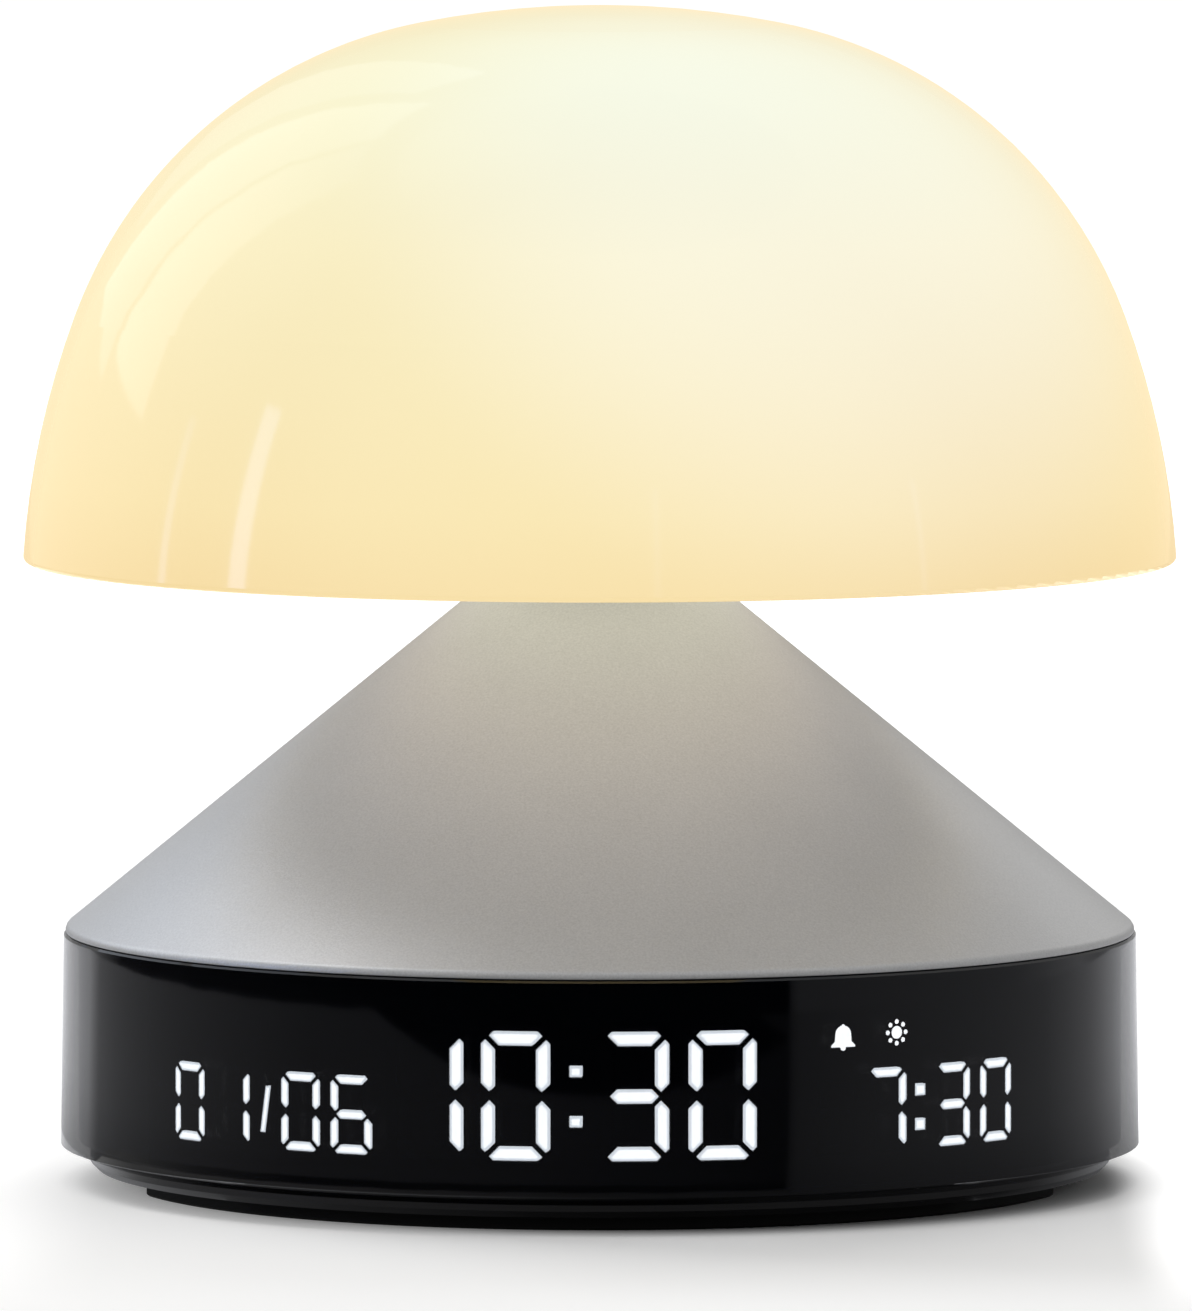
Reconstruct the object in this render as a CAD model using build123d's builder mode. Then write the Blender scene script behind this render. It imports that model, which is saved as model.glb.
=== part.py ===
"""Sunrise alarm clock: an opal dome lamp on an aluminium cone, with a round clock display as its foot.

Millimetres, +Z up. The origin is the centre of the feet, on the table, and the display faces -Y.
Places on the display are angles from the front, positive towards +X.
"""
from build123d import *
from math import acos, asin, cos, degrees, radians, sin, sqrt
import os

os.makedirs("parts", exist_ok=True)

# ---------------------------------------------------------------- driving dimensions: outside
base_radius = 57.0  # display band at its widest, just above its foot chamfer
foot_thickness = 2.0
foot_pocket_depth = 0.4  # how far a foot is sunk in the cover
cover_rim_height = 1.35
cover_setback = 3.1  # from the band's outside in to the cover's edge
cover_edge_bevel = 0.7
foot_chamfer_height = 1.17
band_height = 23.43
band_draft = 0.36  # how much the band narrows from its foot to its top
band_edge_bevel = 0.22
cone_gap = 0.17  # shadow line between the band and the cone
cone_setback = 0.19
cone_edge_height = 0.55
cone_edge_rounding = 0.9
cone_rise = 35.25
cone_top_radius = 13.35
cone_sheet = 1.2
collar_height = 4.55
collar_radius = 12.4
rim_radius = 60.86  # dome at its open edge
rim_drop = 1.2  # how far the dome's edge hangs below the underplate
rim_wall = 1.45
rim_rounding = 0.5
dome_wall = 2.2

# The dome's outline is three arcs, each tangent to the next. A lean is the wall's angle from upright.
rim_lean = 3.69
shoulder_lean = 20.30
crown_lean = 78.73
shoulder_roundness = 0.7992  # radius of the shoulder's arc, for a rim radius of one
crown_roundness = 1.6213

# ---------------------------------------------------------------- driving dimensions: structure
seat_clearance = 0.1  # round pieces that nest in each other
guide_clearance = 0.04  # a light guide in its slot
running_clearance = 0.08  # a sliding round piece in its hole
cut_past = 2.0  # how far a cut or a trimmed piece runs past the face that ends it
band_wall = 1.9
band_flange_width = 3.2
band_flange_thickness = 1.6
rebate_depth = 1.0
rebate_wall = 0.79
deck_thickness = 2.2
skirt_wall = 1.8
skirt_gap = 0.5
cover_floor = 2.0
cover_spigot_wall = 2.0
underplate_thickness = 1.5
hub_flange_radius = 17.0
hub_flange_thickness = 2.2
spigot_radius = 10.3
collar_spigot_depth = 1.4
column_wall = 2.4
column_play = 1.2  # from the column to the cone's mouth
column_head = 9.0
gusset_thickness = 2.0
gusset_reach = 11.8
gusset_height = 14.0
gusset_angles = (-90, 0, 180)
board_thickness = 1.6

# Feet
foot_width = 7.0
foot_inset = 2.6  # from the cover's lower edge in to the foot
foot_half_angle = 70.0
foot_pocket_play = 0.2  # degrees at each end of a foot
foot_edge_bevel = 0.25

# Screws: radius of the thread, of the head and the head's height
m3_thread, m3_head, m3_head_height = 1.25, 2.75, 1.8
m2_thread, m2_head, m2_head_height = 0.8, 1.8, 1.2
socket_share = 0.55  # width and depth of the driver's socket, for a head of one
screw_play = 0.45  # a screw in a plain hole
pilot_play = 0.05  # a screw's core in its pilot hole
base_screw_length = 12.0
base_screw_sink = 2.4  # how deep the cover's screw heads sit
lamp_screw_length = 13.5
lamp_pilot_depth = 8.1
board_screw_length = 5.5
panel_screw_length = 5.5
speaker_screw_length = 2.9
led_screw_length = 3.4

# Base fixings
post_radius = 3.5
post_count = 4
post_start_angle = 45.0
post_inset = 4.0  # from the main board's edge in to the posts' circle
cover_boss_radius = 4.6
cover_boss_height = 6.4
boss_radius = 3.0
boss_inset = 8.0
boss_count = 4
boss_start_angle = 15.0

# Display
display_half_angle = 58.5
mask_depth = 2.1
mask_rail_width = 1.3
mask_rail_height = 1.05
guide_recess = 0.05
flex_thickness = 0.2
flex_end_room = 1.0  # degrees short of the mask at each end
led_gap = 0.1
display_led = (0.8, 0.8, 0.8)
flex_tail_width = 12.0
ffc_connector = (14.0, 4.0, 2.2)

# A digit's bars, for a bar width of one: where their pointed ends lie
tip_inset = 0.30  # in from the digit's outside
corner_inset = 0.56  # along from the digit's corner
waist_inset = 0.59  # in from the outside, at the digit's waist
middle_inset = 0.29  # above and below the digit's middle line
hub_inset = 0.72  # from the digit's outside in to the middle bar's ends

time_digit = (7.25, 13.4, 1.5)  # width, height and bar width
time_shift = -0.15  # of the digits' middle, up from the display's middle
time_angles = (-18.63, -9.15, 3.72, 13.35)
time_colon_angle = -2.61
time_colon_rise = 2.6
time_dot = (1.37, 1.2)

date_digit = (4.95, 8.2, 0.98)
date_shift = -2.65
date_angles = (-50.9, -43.9, -34.34, -27.9)
slash_angle = -39.07
slash_height = 4.9
slash_lean = 0.75
slash_width = 0.73

alarm_digit = (5.0, 8.65, 1.02)
alarm_shift = -2.3
alarm_angles = (25.9, 32.66, 41.72, 48.45)
alarm_colon_angle = 37.1
alarm_colon_rise = 1.8
alarm_dot = (1.38, 1.28)

bell_angle, bell_shift, bell_width = 27.18, 5.38, 2.76
# The bell's outline for a half width of one: its crown, its right side downwards, and its knob and clapper
bell_crown = 0.90
bell_side = ((0.66, 0.25), (0.70, -0.29), (1.0, -0.58), (1.0, -0.71))
bell_ends = (0.86, 0.14, 0.76, 0.22)  # the knob's rise and radius, the clapper's drop and radius
sun_angle, sun_shift, sun_radius = 33.93, 5.61, 0.65
ray_count = 8
ray_radius = 0.24
ray_circle = 1.12

# Main board and what is on it
component_room = 5.55  # between the main board and the deck
board_edge_room = 11.1  # from the skirt in to the main board
board_rear_room = 4.1  # from the control board to the main board
lamp_socket = (7.0, 6.0, 3.0)
battery_socket = (5.0, 6.0, 3.0)
touch_socket = (4.0, 4.0, 3.0)
speaker_socket = (5.0, 6.0, 3.0)
chip_list = (
    ((14.0, -15.0), (10.0, 10.0, 1.2)),
    ((-14.0, -17.0), (5.0, 5.0, 1.0)),
    ((17.0, 14.0), (8.0, 8.0, 4.0)),
    ((6.0, 19.0), (6.0, 6.0, 1.5)),
    ((-10.0, 14.0), (4.0, 5.0, 1.2)),
    ((24.0, -2.0), (3.2, 1.5, 0.9)),
)
capacitor_list = ((-18.0, 6.0), (-18.0, -3.0))
capacitor_radius = 2.6
capacitor_height = 4.6

# Battery, on the deck behind the column
battery_thickness = 6.0
battery_front_room = 3.25  # from the column to the battery
battery_rear_room = 7.1  # from the cone's inside at the battery's top to its rear edge
battery_corner_room = 3.7  # the same at its rear corners, sideways
battery_pad = 0.6
battery_edge_rounding = 1.5
battery_lead_reach = 8.0
lead_bend_share = 0.45  # of the shorter run, for a bend's radius
battery_lead_radius = 1.1
battery_lead_inset = 2.5  # from the battery's front edge back to its lead
lead_hole_play = 0.9

# Touch contact: a spring leaf between the deck and the inside of the cone
touch_leaf = 0.3
touch_width = 5.0
touch_base = (2.5, 4.5)  # how far the leaf's foot reaches in and out from its lead
touch_height = 5.0
touch_bend_radius = 1.2
touch_lip = (3.0, 1.8)  # how far the leaf's tip curls in and up
touch_lead_radius = 0.6
touch_edge_room = 4.0  # from the main board's edge in to the lead

# Speaker, facing down
speaker_radius = 20.0
speaker_rim = 4.0
speaker_rim_thickness = 1.0
speaker_back_radius = 11.5
speaker_back_height = 5.8
speaker_shell = 1.0
magnet_radius = 11.0
magnet_height = 4.0
gasket_thickness = 0.6
diaphragm_thickness = 0.4
diaphragm_neck = 3.8
diaphragm_gap = 3.0  # from the speaker's back down to the diaphragm
speaker_ear_radius = 2.6
speaker_ear_reach = 2.35  # from the rim to an ear's middle
speaker_ear_count = 3
speaker_ear_start = 90.0
speaker_lead_radius = 0.9
grille_hole_radius = 1.0
grille_pitch = 4.0
grille_rings = 3
grille_step = 6  # holes more in each ring than in the one inside it

# Rear panel, its buttons and its charging socket
window_width = 41.8
window_corner = 3.0
window_rise = 2.45  # from the band's inside floor to the window
window_top_room = 1.75  # from the window to the deck
panel_play = 0.15
panel_flange = 1.6
panel_setback = 0.1
panel_flange_depth = 1.95
sleeve_radius = 3.8
sleeve_depth = 4.5  # from the band's inner face in to the sleeves' flat ends
button_end_room = 4.9  # from the window's end to the outermost button's middle
button_names = ("alarm", "minus", "light", "plus", "sound")
button_radius = 2.7
button_flange_radius = 3.35
button_flange_thickness = 0.9
flange_room = 0.4
button_rest_gap = 0.1
button_stand_proud = 0.45
button_edge_rounding = 0.35
button_travel = 0.5
button_level_from_top = 5.0
switch_size = 6.0
switch_height = 3.5
switch_corner = 0.5
plunger_radius = 1.5
plunger_proud = 0.9
plunger_depth = 1.7
plunger_stop_room = 0.25  # left below a plunger that is pressed all the way
control_board_inset = 0.4  # from the window's end to the control board's
control_board_rise = 0.45  # of the control board's lower edge above the band's inside floor
control_board_top_gap = 0.1
groove_depth = 0.8
post_wall = 0.95
post_width = 3.6
panel_boss_radius = 2.4
panel_boss_place = 13.5
usb_level_from_bottom = 3.4
usb_width = 8.94
usb_height = 3.26
usb_shell = 0.3
usb_depth = 6.4
usb_tongue = (6.7, 0.7, 5.4)
usb_relief = (13.0, 7.0, 1.2)
usb_relief_gap = 0.05
rest_block = (3.0, 4.0)
rest_block_place = 13.0
header_pins = 8
header_pitch = 2.0
header_pin = 0.5
header_block = (17.0, 2.5, 2.5)

# Lamp
led_board_radius = 16.0
led_count = 12
led_circle = 9.2
led_package = (3.5, 2.8, 0.8)
lamp_screw_circle = 6.6
lamp_screw_count = 3
lamp_screw_start = 90.0
led_screw_circle = 13.2
led_screw_count = 3
led_screw_start = 30.0
lamp_cable_radius = 1.1
cable_hole_radius = 2.2

# ---------------------------------------------------------------- levels and fits worked out
cover_z = foot_thickness - foot_pocket_depth
band_z = cover_z + cover_rim_height
seat_z = band_z + band_flange_thickness
band_top_z = band_z + band_height
cone_z = band_top_z + cone_gap
cone_shoulder_z = cone_z + cone_edge_height
cone_top_z = cone_shoulder_z + cone_rise
underplate_z = cone_top_z + collar_height
hub_z = underplate_z + underplate_thickness
rim_z = underplate_z - rim_drop
led_board_z = hub_z + hub_flange_thickness
led_z = led_board_z + board_thickness
deck_z = cone_z - deck_thickness
cover_inside_z = cover_z + cover_floor
board_top_z = deck_z - component_room
board_z = board_top_z - board_thickness
column_top_z = cone_top_z - collar_spigot_depth

band_top_radius = base_radius - band_draft
band_inner = base_radius - band_wall
band_flange_inner = band_inner - band_flange_width
rebate_radius = band_top_radius - rebate_wall
cover_radius = base_radius - cover_setback
deck_radius = band_inner - 2 * seat_clearance
skirt_inner = deck_radius - skirt_wall
cone_foot_radius = band_top_radius - cone_setback
cone_slope = (cone_foot_radius - cone_top_radius) / cone_rise
cone_inside_shift = cone_sheet * sqrt(1 + cone_slope**2)
cone_mouth_radius = cone_top_radius - cone_inside_shift
column_radius = cone_mouth_radius - column_play
board_radius = skirt_inner - board_edge_room
post_circle = board_radius - post_inset
boss_circle = board_radius - boss_inset

display_z = (seat_z + deck_z) / 2
mask_face = band_inner - seat_clearance
mask_back = mask_face - mask_depth
flex_face = mask_back - display_led[2] - led_gap
flex_back = flex_face - flex_thickness

window_z = seat_z + window_rise
window_height = deck_z - window_top_room - window_z
panel_face = band_top_radius - panel_setback
panel_back = band_inner - seat_clearance - panel_flange_depth
sleeve_end = band_inner - sleeve_depth
button_z = window_z + window_height - button_level_from_top
button_face = panel_face + button_stand_proud
button_front_y = sleeve_end - button_rest_gap
button_back_y = button_front_y - button_flange_thickness
switch_front_y = button_back_y - plunger_proud
control_front_y = switch_front_y - switch_height
control_back_y = control_front_y - board_thickness
usb_z = window_z + usb_level_from_bottom
button_pitch = (window_width - 2 * button_end_room) / (len(button_names) - 1)
control_board_width = window_width - 2 * control_board_inset
board_rear_y = control_back_y - board_rear_room
control_z = seat_z + control_board_rise
control_top_z = deck_z - control_board_top_gap


def cone_inside(level):
    """Radius of the cone's inner face at a height."""
    return cone_foot_radius - cone_slope * (level - cone_shoulder_z) - cone_inside_shift


def front_plane(angle, level):
    """Upright plane through the clock's axis that looks out of the display at an angle."""
    across = (cos(radians(angle)), sin(radians(angle)), 0)
    outward = (sin(radians(angle)), -cos(radians(angle)), 0)
    return Plane(origin=(0, 0, level), x_dir=across, z_dir=outward)


def rear_plane(distance):
    """Upright plane across the back of the clock, looking backwards, at a distance from the axis."""
    return Plane(origin=(0, distance, 0), x_dir=(-1, 0, 0), z_dir=(0, 1, 0))


def sector(inner, outer, start, end):
    """Part of a flat ring between two angles, counted from +X."""
    with BuildSketch() as ring_part:
        with BuildLine():
            outside = CenterArc((0, 0), outer, start, end - start)
            inside = CenterArc((0, 0), inner, start, end - start)
            Line(outside @ 0, inside @ 0)
            Line(outside @ 1, inside @ 1)
        make_face()
    return ring_part.sketch


def save(piece, name):
    """Label a finished piece and write it."""
    piece.part.label = name
    export_step(piece.part, f"parts/{name}.step")


def level_plane(height):
    """Flat plane at a height."""
    return Plane.XY.offset(height)


def screws(places, seat, length, thread, head, head_height, down=True, level=level_plane):
    """A set of pan-head screws whose heads sit on a flat face, at points of that face."""
    way = -1 if down else 1
    with BuildPart() as made:
        with BuildSketch(level(seat)):
            with Locations(*places):
                Circle(thread)
        extrude(amount=way * length)
        with BuildSketch(level(seat)):
            with Locations(*places):
                Circle(head)
        extrude(amount=-way * head_height)
        with BuildSketch(level(seat - way * head_height)):
            with Locations(*places):
                RegularPolygon(radius=socket_share * head, side_count=6)
        extrude(amount=way * socket_share * head_height, mode=Mode.SUBTRACT)
    return made


def ring_points(radius, count, start=0.0):
    """Points spread evenly on a circle."""
    return [
        (radius * cos(radians(start + 360 / count * step)), radius * sin(radians(start + 360 / count * step)))
        for step in range(count)
    ]


# ---------------------------------------------------------------- fixing points in plan
post_points = ring_points(post_circle, post_count, post_start_angle)
boss_points = ring_points(boss_circle, boss_count, boss_start_angle)
lamp_screw_points = ring_points(lamp_screw_circle, lamp_screw_count, lamp_screw_start)
led_screw_points = ring_points(led_screw_circle, led_screw_count, led_screw_start)
ear_points = ring_points(speaker_radius + speaker_ear_reach, speaker_ear_count, speaker_ear_start)
button_places = [button_pitch * (step - (len(button_names) - 1) / 2) for step in range(len(button_names))]

# ---------------------------------------------------------------- dome
shoulder_radius = shoulder_roundness * rim_radius
crown_radius = crown_roundness * rim_radius
skirt_radius = (
    rim_radius
    - shoulder_radius * (cos(radians(shoulder_lean)) - cos(radians(crown_lean)))
    - crown_radius * cos(radians(crown_lean))
) / (cos(radians(rim_lean)) - cos(radians(shoulder_lean)))


def leaning(radius, lean):
    """A radius laid along a lean, as a step out and up."""
    return Vector(radius * cos(radians(lean)), radius * sin(radians(lean)))


skirt_centre = Vector(rim_radius, rim_z) - leaning(skirt_radius, rim_lean)
shoulder_centre = skirt_centre + leaning(skirt_radius - shoulder_radius, shoulder_lean)
crown_centre = shoulder_centre + leaning(shoulder_radius - crown_radius, crown_lean)
ledge_lean = degrees(asin((hub_z - skirt_centre.Y) / (skirt_radius - dome_wall)))
rim_inner = rim_radius - rim_wall

with BuildPart() as dome_shade:
    with BuildSketch(Plane.XZ) as dome_section:
        with BuildLine():
            CenterArc(skirt_centre, skirt_radius, rim_lean, shoulder_lean - rim_lean)
            CenterArc(shoulder_centre, shoulder_radius, shoulder_lean, crown_lean - shoulder_lean)
            outside = CenterArc(crown_centre, crown_radius, crown_lean, 90 - crown_lean)
            inside = CenterArc(crown_centre, crown_radius - dome_wall, crown_lean, 90 - crown_lean)
            Line(outside @ 1, inside @ 1)
            CenterArc(shoulder_centre, shoulder_radius - dome_wall, shoulder_lean, crown_lean - shoulder_lean)
            ledge = CenterArc(skirt_centre, skirt_radius - dome_wall, ledge_lean, shoulder_lean - ledge_lean)
            Polyline(ledge @ 0, (rim_inner, hub_z), (rim_inner, rim_z), (rim_radius, rim_z))
        make_face()
        fillet(dome_section.vertices().sort_by(Axis.Y)[:2], rim_rounding)
    revolve(axis=Axis.Z)
save(dome_shade, "dome_shade")

with BuildPart() as shade_underplate:
    with BuildSketch(Plane.XY.offset(underplate_z)):
        Circle(rim_inner - seat_clearance)
        Circle(spigot_radius + seat_clearance, mode=Mode.SUBTRACT)
    extrude(amount=underplate_thickness)
save(shade_underplate, "shade_underplate")

# ---------------------------------------------------------------- lamp: hub, lights and collar
with BuildPart() as lamp_hub:
    with BuildSketch(Plane.XY.offset(underplate_z)):
        Circle(spigot_radius)
    extrude(amount=underplate_thickness)
    with BuildSketch(Plane.XY.offset(hub_z)):
        Circle(hub_flange_radius)
    extrude(amount=hub_flange_thickness)
    with BuildSketch(Plane.XY.offset(underplate_z)):
        Circle(cable_hole_radius)
        with Locations(*lamp_screw_points):
            Circle(m3_thread + screw_play)
    extrude(amount=led_board_z - underplate_z, mode=Mode.SUBTRACT)
    with BuildSketch(Plane.XY.offset(led_board_z)):
        with Locations(*lamp_screw_points):
            Circle(m3_head + seat_clearance)
    extrude(amount=-m3_head_height - seat_clearance, mode=Mode.SUBTRACT)
    with BuildSketch(Plane.XY.offset(led_board_z)):
        with Locations(*led_screw_points):
            Circle(m2_thread + pilot_play)
    extrude(amount=board_thickness - led_screw_length - seat_clearance, mode=Mode.SUBTRACT)
save(lamp_hub, "lamp_hub")

lamp_screws = screws(
    lamp_screw_points, led_board_z - m3_head_height - seat_clearance,
    lamp_screw_length, m3_thread, m3_head, m3_head_height,
)
save(lamp_screws, "lamp_screws")

with BuildPart() as led_board:
    with BuildSketch(Plane.XY.offset(led_board_z)):
        Circle(led_board_radius)
        Circle(cable_hole_radius, mode=Mode.SUBTRACT)
        with Locations(*led_screw_points):
            Circle(m2_thread + screw_play, mode=Mode.SUBTRACT)
    extrude(amount=board_thickness)
save(led_board, "led_board")

with BuildPart() as led_emitters:
    with BuildSketch(Plane.XY.offset(led_z)):
        with PolarLocations(led_circle, led_count):
            Rectangle(led_package[1], led_package[0])
    extrude(amount=led_package[2])
save(led_emitters, "led_emitters")

led_board_screws = screws(led_screw_points, led_z, led_screw_length, m2_thread, m2_head, m2_head_height)
save(led_board_screws, "led_board_screws")

with BuildPart() as neck_collar:
    with BuildSketch(Plane.XY.offset(cone_top_z)):
        Circle(collar_radius)
    extrude(amount=collar_height)
    with BuildSketch(Plane.XY.offset(column_top_z)):
        Circle(cone_mouth_radius - 2 * seat_clearance)
    extrude(amount=collar_spigot_depth)
    with BuildSketch(Plane.XY.offset(column_top_z)):
        Circle(cable_hole_radius)
        with Locations(*lamp_screw_points):
            Circle(m3_thread + screw_play)
    extrude(amount=underplate_z - column_top_z, mode=Mode.SUBTRACT)
save(neck_collar, "neck_collar")

# ---------------------------------------------------------------- cone
with BuildPart() as cone_shell:
    with BuildSketch(Plane.XZ) as cone_section:
        Polygon(
            (cone_foot_radius, cone_z),
            (cone_foot_radius, cone_shoulder_z),
            (cone_top_radius, cone_top_z),
            (cone_mouth_radius, cone_top_z),
            (cone_inside(cone_z), cone_z),
            align=None,
        )
        shoulder = cone_section.vertices().sort_by(Axis.X)[-2:].sort_by(Axis.Y)[-1]
        fillet(shoulder, cone_edge_rounding)
    revolve(axis=Axis.Z)
save(cone_shell, "cone_shell")

# ---------------------------------------------------------------- display band
window = Pos(0, window_z + window_height / 2) * RectangleRounded(window_width, window_height, window_corner)

with BuildPart() as display_band:
    with BuildSketch(Plane.XZ) as band_section:
        Polygon(
            (cover_radius, band_z),
            (base_radius, band_z + foot_chamfer_height),
            (band_top_radius, band_top_z),
            (rebate_radius, band_top_z),
            (rebate_radius, band_top_z - rebate_depth),
            (band_inner, band_top_z - rebate_depth),
            (band_inner, seat_z),
            (band_flange_inner, seat_z),
            (band_flange_inner, band_z),
            align=None,
        )
        top_edge = band_section.vertices().sort_by(Axis.Y)[-2:].sort_by(Axis.X)[-1]
        chamfer(top_edge, band_edge_bevel)
    revolve(axis=Axis.Z)
    with BuildSketch(rear_plane(sleeve_end)):
        add(window)
    extrude(amount=base_radius, mode=Mode.SUBTRACT)
save(display_band, "display_band")

# ---------------------------------------------------------------- chassis
skirt_end = degrees(acos((window_width / 2 + panel_flange + skirt_gap) / skirt_inner))
skirt_start = display_half_angle - 90 + skirt_gap
battery_z = cone_z + battery_pad
battery_fit_radius = cone_inside(battery_z + battery_thickness)
battery_front_y = column_radius + battery_front_room
battery_rear_y = battery_fit_radius - battery_rear_room
battery_half_length = sqrt(battery_fit_radius**2 - battery_rear_y**2) - battery_corner_room
battery_lead_x = -battery_half_length - battery_lead_reach
battery_lead_y = battery_front_y + battery_lead_inset
touch_lead_place = board_radius - touch_edge_room

with BuildPart() as chassis:
    with BuildSketch(Plane.XY.offset(deck_z)):
        Circle(deck_radius)
    extrude(amount=deck_thickness)
    with BuildSketch(Plane.XY.offset(band_top_z - rebate_depth)):
        Circle(rebate_radius - seat_clearance)
    extrude(amount=rebate_depth + cone_gap)
    with BuildSketch(Plane.XY.offset(seat_z)):
        add(sector(skirt_inner, deck_radius, skirt_start, skirt_end))
        add(sector(skirt_inner, deck_radius, 180 - skirt_end, 180 - skirt_start))
    extrude(amount=deck_z - seat_z)
    # Posts for the cover's screws, and bosses for the main board's
    with BuildSketch(Plane.XY.offset(cover_inside_z + cover_boss_height)):
        with Locations(*post_points):
            Circle(post_radius)
            Circle(m3_thread + pilot_play, mode=Mode.SUBTRACT)
    extrude(until=Until.NEXT)
    with BuildSketch(Plane.XY.offset(board_top_z)):
        with Locations(*boss_points):
            Circle(boss_radius)
            Circle(m2_thread + pilot_play, mode=Mode.SUBTRACT)
    extrude(until=Until.NEXT)
    # Column that carries the lamp, with gussets at its foot
    with BuildSketch(Plane.XY.offset(cone_z)):
        Circle(column_radius)
    extrude(amount=column_top_z - cone_z)
    for gusset_angle in gusset_angles:
        with BuildSketch(front_plane(gusset_angle, cone_z)):
            Polygon(
                (0, 0),
                (column_radius + gusset_reach, 0),
                (column_radius, gusset_height),
                (0, gusset_height),
                align=None,
            )
        extrude(amount=gusset_thickness / 2, both=True)
    with BuildSketch(Plane.XY.offset(deck_z)):
        Circle(column_radius - column_wall)
    extrude(amount=column_top_z - column_head - deck_z, mode=Mode.SUBTRACT)
    with BuildSketch(Plane.XY.offset(column_top_z)):
        Circle(cable_hole_radius)
    extrude(amount=-column_head, mode=Mode.SUBTRACT)
    with BuildSketch(Plane.XY.offset(column_top_z)):
        with Locations(*lamp_screw_points):
            Circle(m3_thread + pilot_play)
    extrude(amount=-lamp_pilot_depth, mode=Mode.SUBTRACT)
    # Holes in the deck for the battery's and the touch contact's leads
    with BuildSketch(Plane.XY.offset(deck_z)):
        with Locations((battery_lead_x, battery_lead_y)):
            Circle(battery_lead_radius + lead_hole_play)
        with Locations((-touch_lead_place, 0)):
            Circle(touch_lead_radius + lead_hole_play)
    extrude(amount=deck_thickness, mode=Mode.SUBTRACT)
    # Grooved posts that hold the control board by its side edges
    with BuildSketch(Plane.XY.offset(control_z)):
        with Locations((0, (control_back_y + control_front_y) / 2)):
            Rectangle(control_board_width - 2 * groove_depth + 2 * post_width, board_thickness + 2 * post_wall)
            Rectangle(control_board_width + 2 * guide_clearance, board_thickness + 2 * guide_clearance,
                      mode=Mode.SUBTRACT)
            Rectangle(control_board_width - 2 * groove_depth, board_thickness + 4 * post_wall,
                      mode=Mode.SUBTRACT)
    extrude(until=Until.NEXT)
save(chassis, "chassis")

# ---------------------------------------------------------------- bottom cover and feet
grille_points = [(0, 0)]
for ring in range(1, grille_rings + 1):
    grille_points += ring_points(ring * grille_pitch, grille_step * ring)

foot_outer = cover_radius - cover_edge_bevel - foot_inset
foot_inner = foot_outer - foot_width
foot_starts = {"foot_front": -90 - foot_half_angle, "foot_rear": 90 - foot_half_angle}

with BuildPart() as bottom_cover:
    with BuildSketch(Plane.XZ):
        Polygon(
            (0, cover_z),
            (cover_radius - cover_edge_bevel, cover_z),
            (cover_radius, cover_z + cover_edge_bevel),
            (cover_radius, band_z),
            (band_flange_inner - seat_clearance, band_z),
            (band_flange_inner - seat_clearance, seat_z - seat_clearance),
            (band_flange_inner - seat_clearance - cover_spigot_wall, seat_z - seat_clearance),
            (band_flange_inner - seat_clearance - cover_spigot_wall, cover_inside_z),
            (0, cover_inside_z),
            align=None,
        )
    revolve(axis=Axis.Z)
    with BuildSketch(Plane.XY.offset(cover_inside_z)):
        with Locations(*post_points):
            Circle(cover_boss_radius)
    extrude(amount=cover_boss_height)
    with BuildSketch(Plane.XY.offset(cover_z)):
        with Locations(*post_points):
            Circle(m3_thread + screw_play)
    extrude(amount=cover_boss_height + cover_floor, mode=Mode.SUBTRACT)
    with BuildSketch(Plane.XY.offset(cover_z)):
        with Locations(*post_points):
            Circle(m3_head + screw_play)
    extrude(amount=base_screw_sink, mode=Mode.SUBTRACT)
    with BuildSketch(Plane.XY.offset(cover_inside_z)):
        with Locations(*ear_points):
            Circle(speaker_ear_radius)
    extrude(amount=gasket_thickness)
    with BuildSketch(Plane.XY.offset(cover_inside_z + gasket_thickness)):
        with Locations(*ear_points):
            Circle(m2_thread + pilot_play)
    extrude(amount=speaker_rim_thickness - speaker_screw_length, mode=Mode.SUBTRACT)
    with BuildSketch(Plane.XY.offset(cover_inside_z)):
        for side in (-1, 1):
            with Locations((side * rest_block_place, (control_back_y + control_front_y) / 2)):
                Rectangle(*rest_block)
    extrude(amount=control_z - cover_inside_z)
    with BuildSketch(Plane.XY.offset(cover_z)):
        with Locations(*grille_points):
            Circle(grille_hole_radius)
    extrude(amount=cover_floor, mode=Mode.SUBTRACT)
    with BuildSketch(Plane.XY.offset(cover_z)):
        for start in foot_starts.values():
            add(sector(foot_inner - seat_clearance, foot_outer + seat_clearance,
                       start - foot_pocket_play, start + 2 * foot_half_angle + foot_pocket_play))
    extrude(amount=foot_pocket_depth, mode=Mode.SUBTRACT)
save(bottom_cover, "bottom_cover")

for foot_name, start in foot_starts.items():
    with BuildPart() as foot:
        with BuildSketch():
            add(sector(foot_inner, foot_outer, start, start + 2 * foot_half_angle))
        extrude(amount=foot_thickness)
        chamfer(foot.edges().group_by(Axis.Z)[0], foot_edge_bevel)
    save(foot, foot_name)

base_screws = screws(
    post_points, cover_z + base_screw_sink, base_screw_length, m3_thread, m3_head, m3_head_height, down=False,
)
save(base_screws, "base_screws")

# ---------------------------------------------------------------- display: mask, light guides and flex


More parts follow.
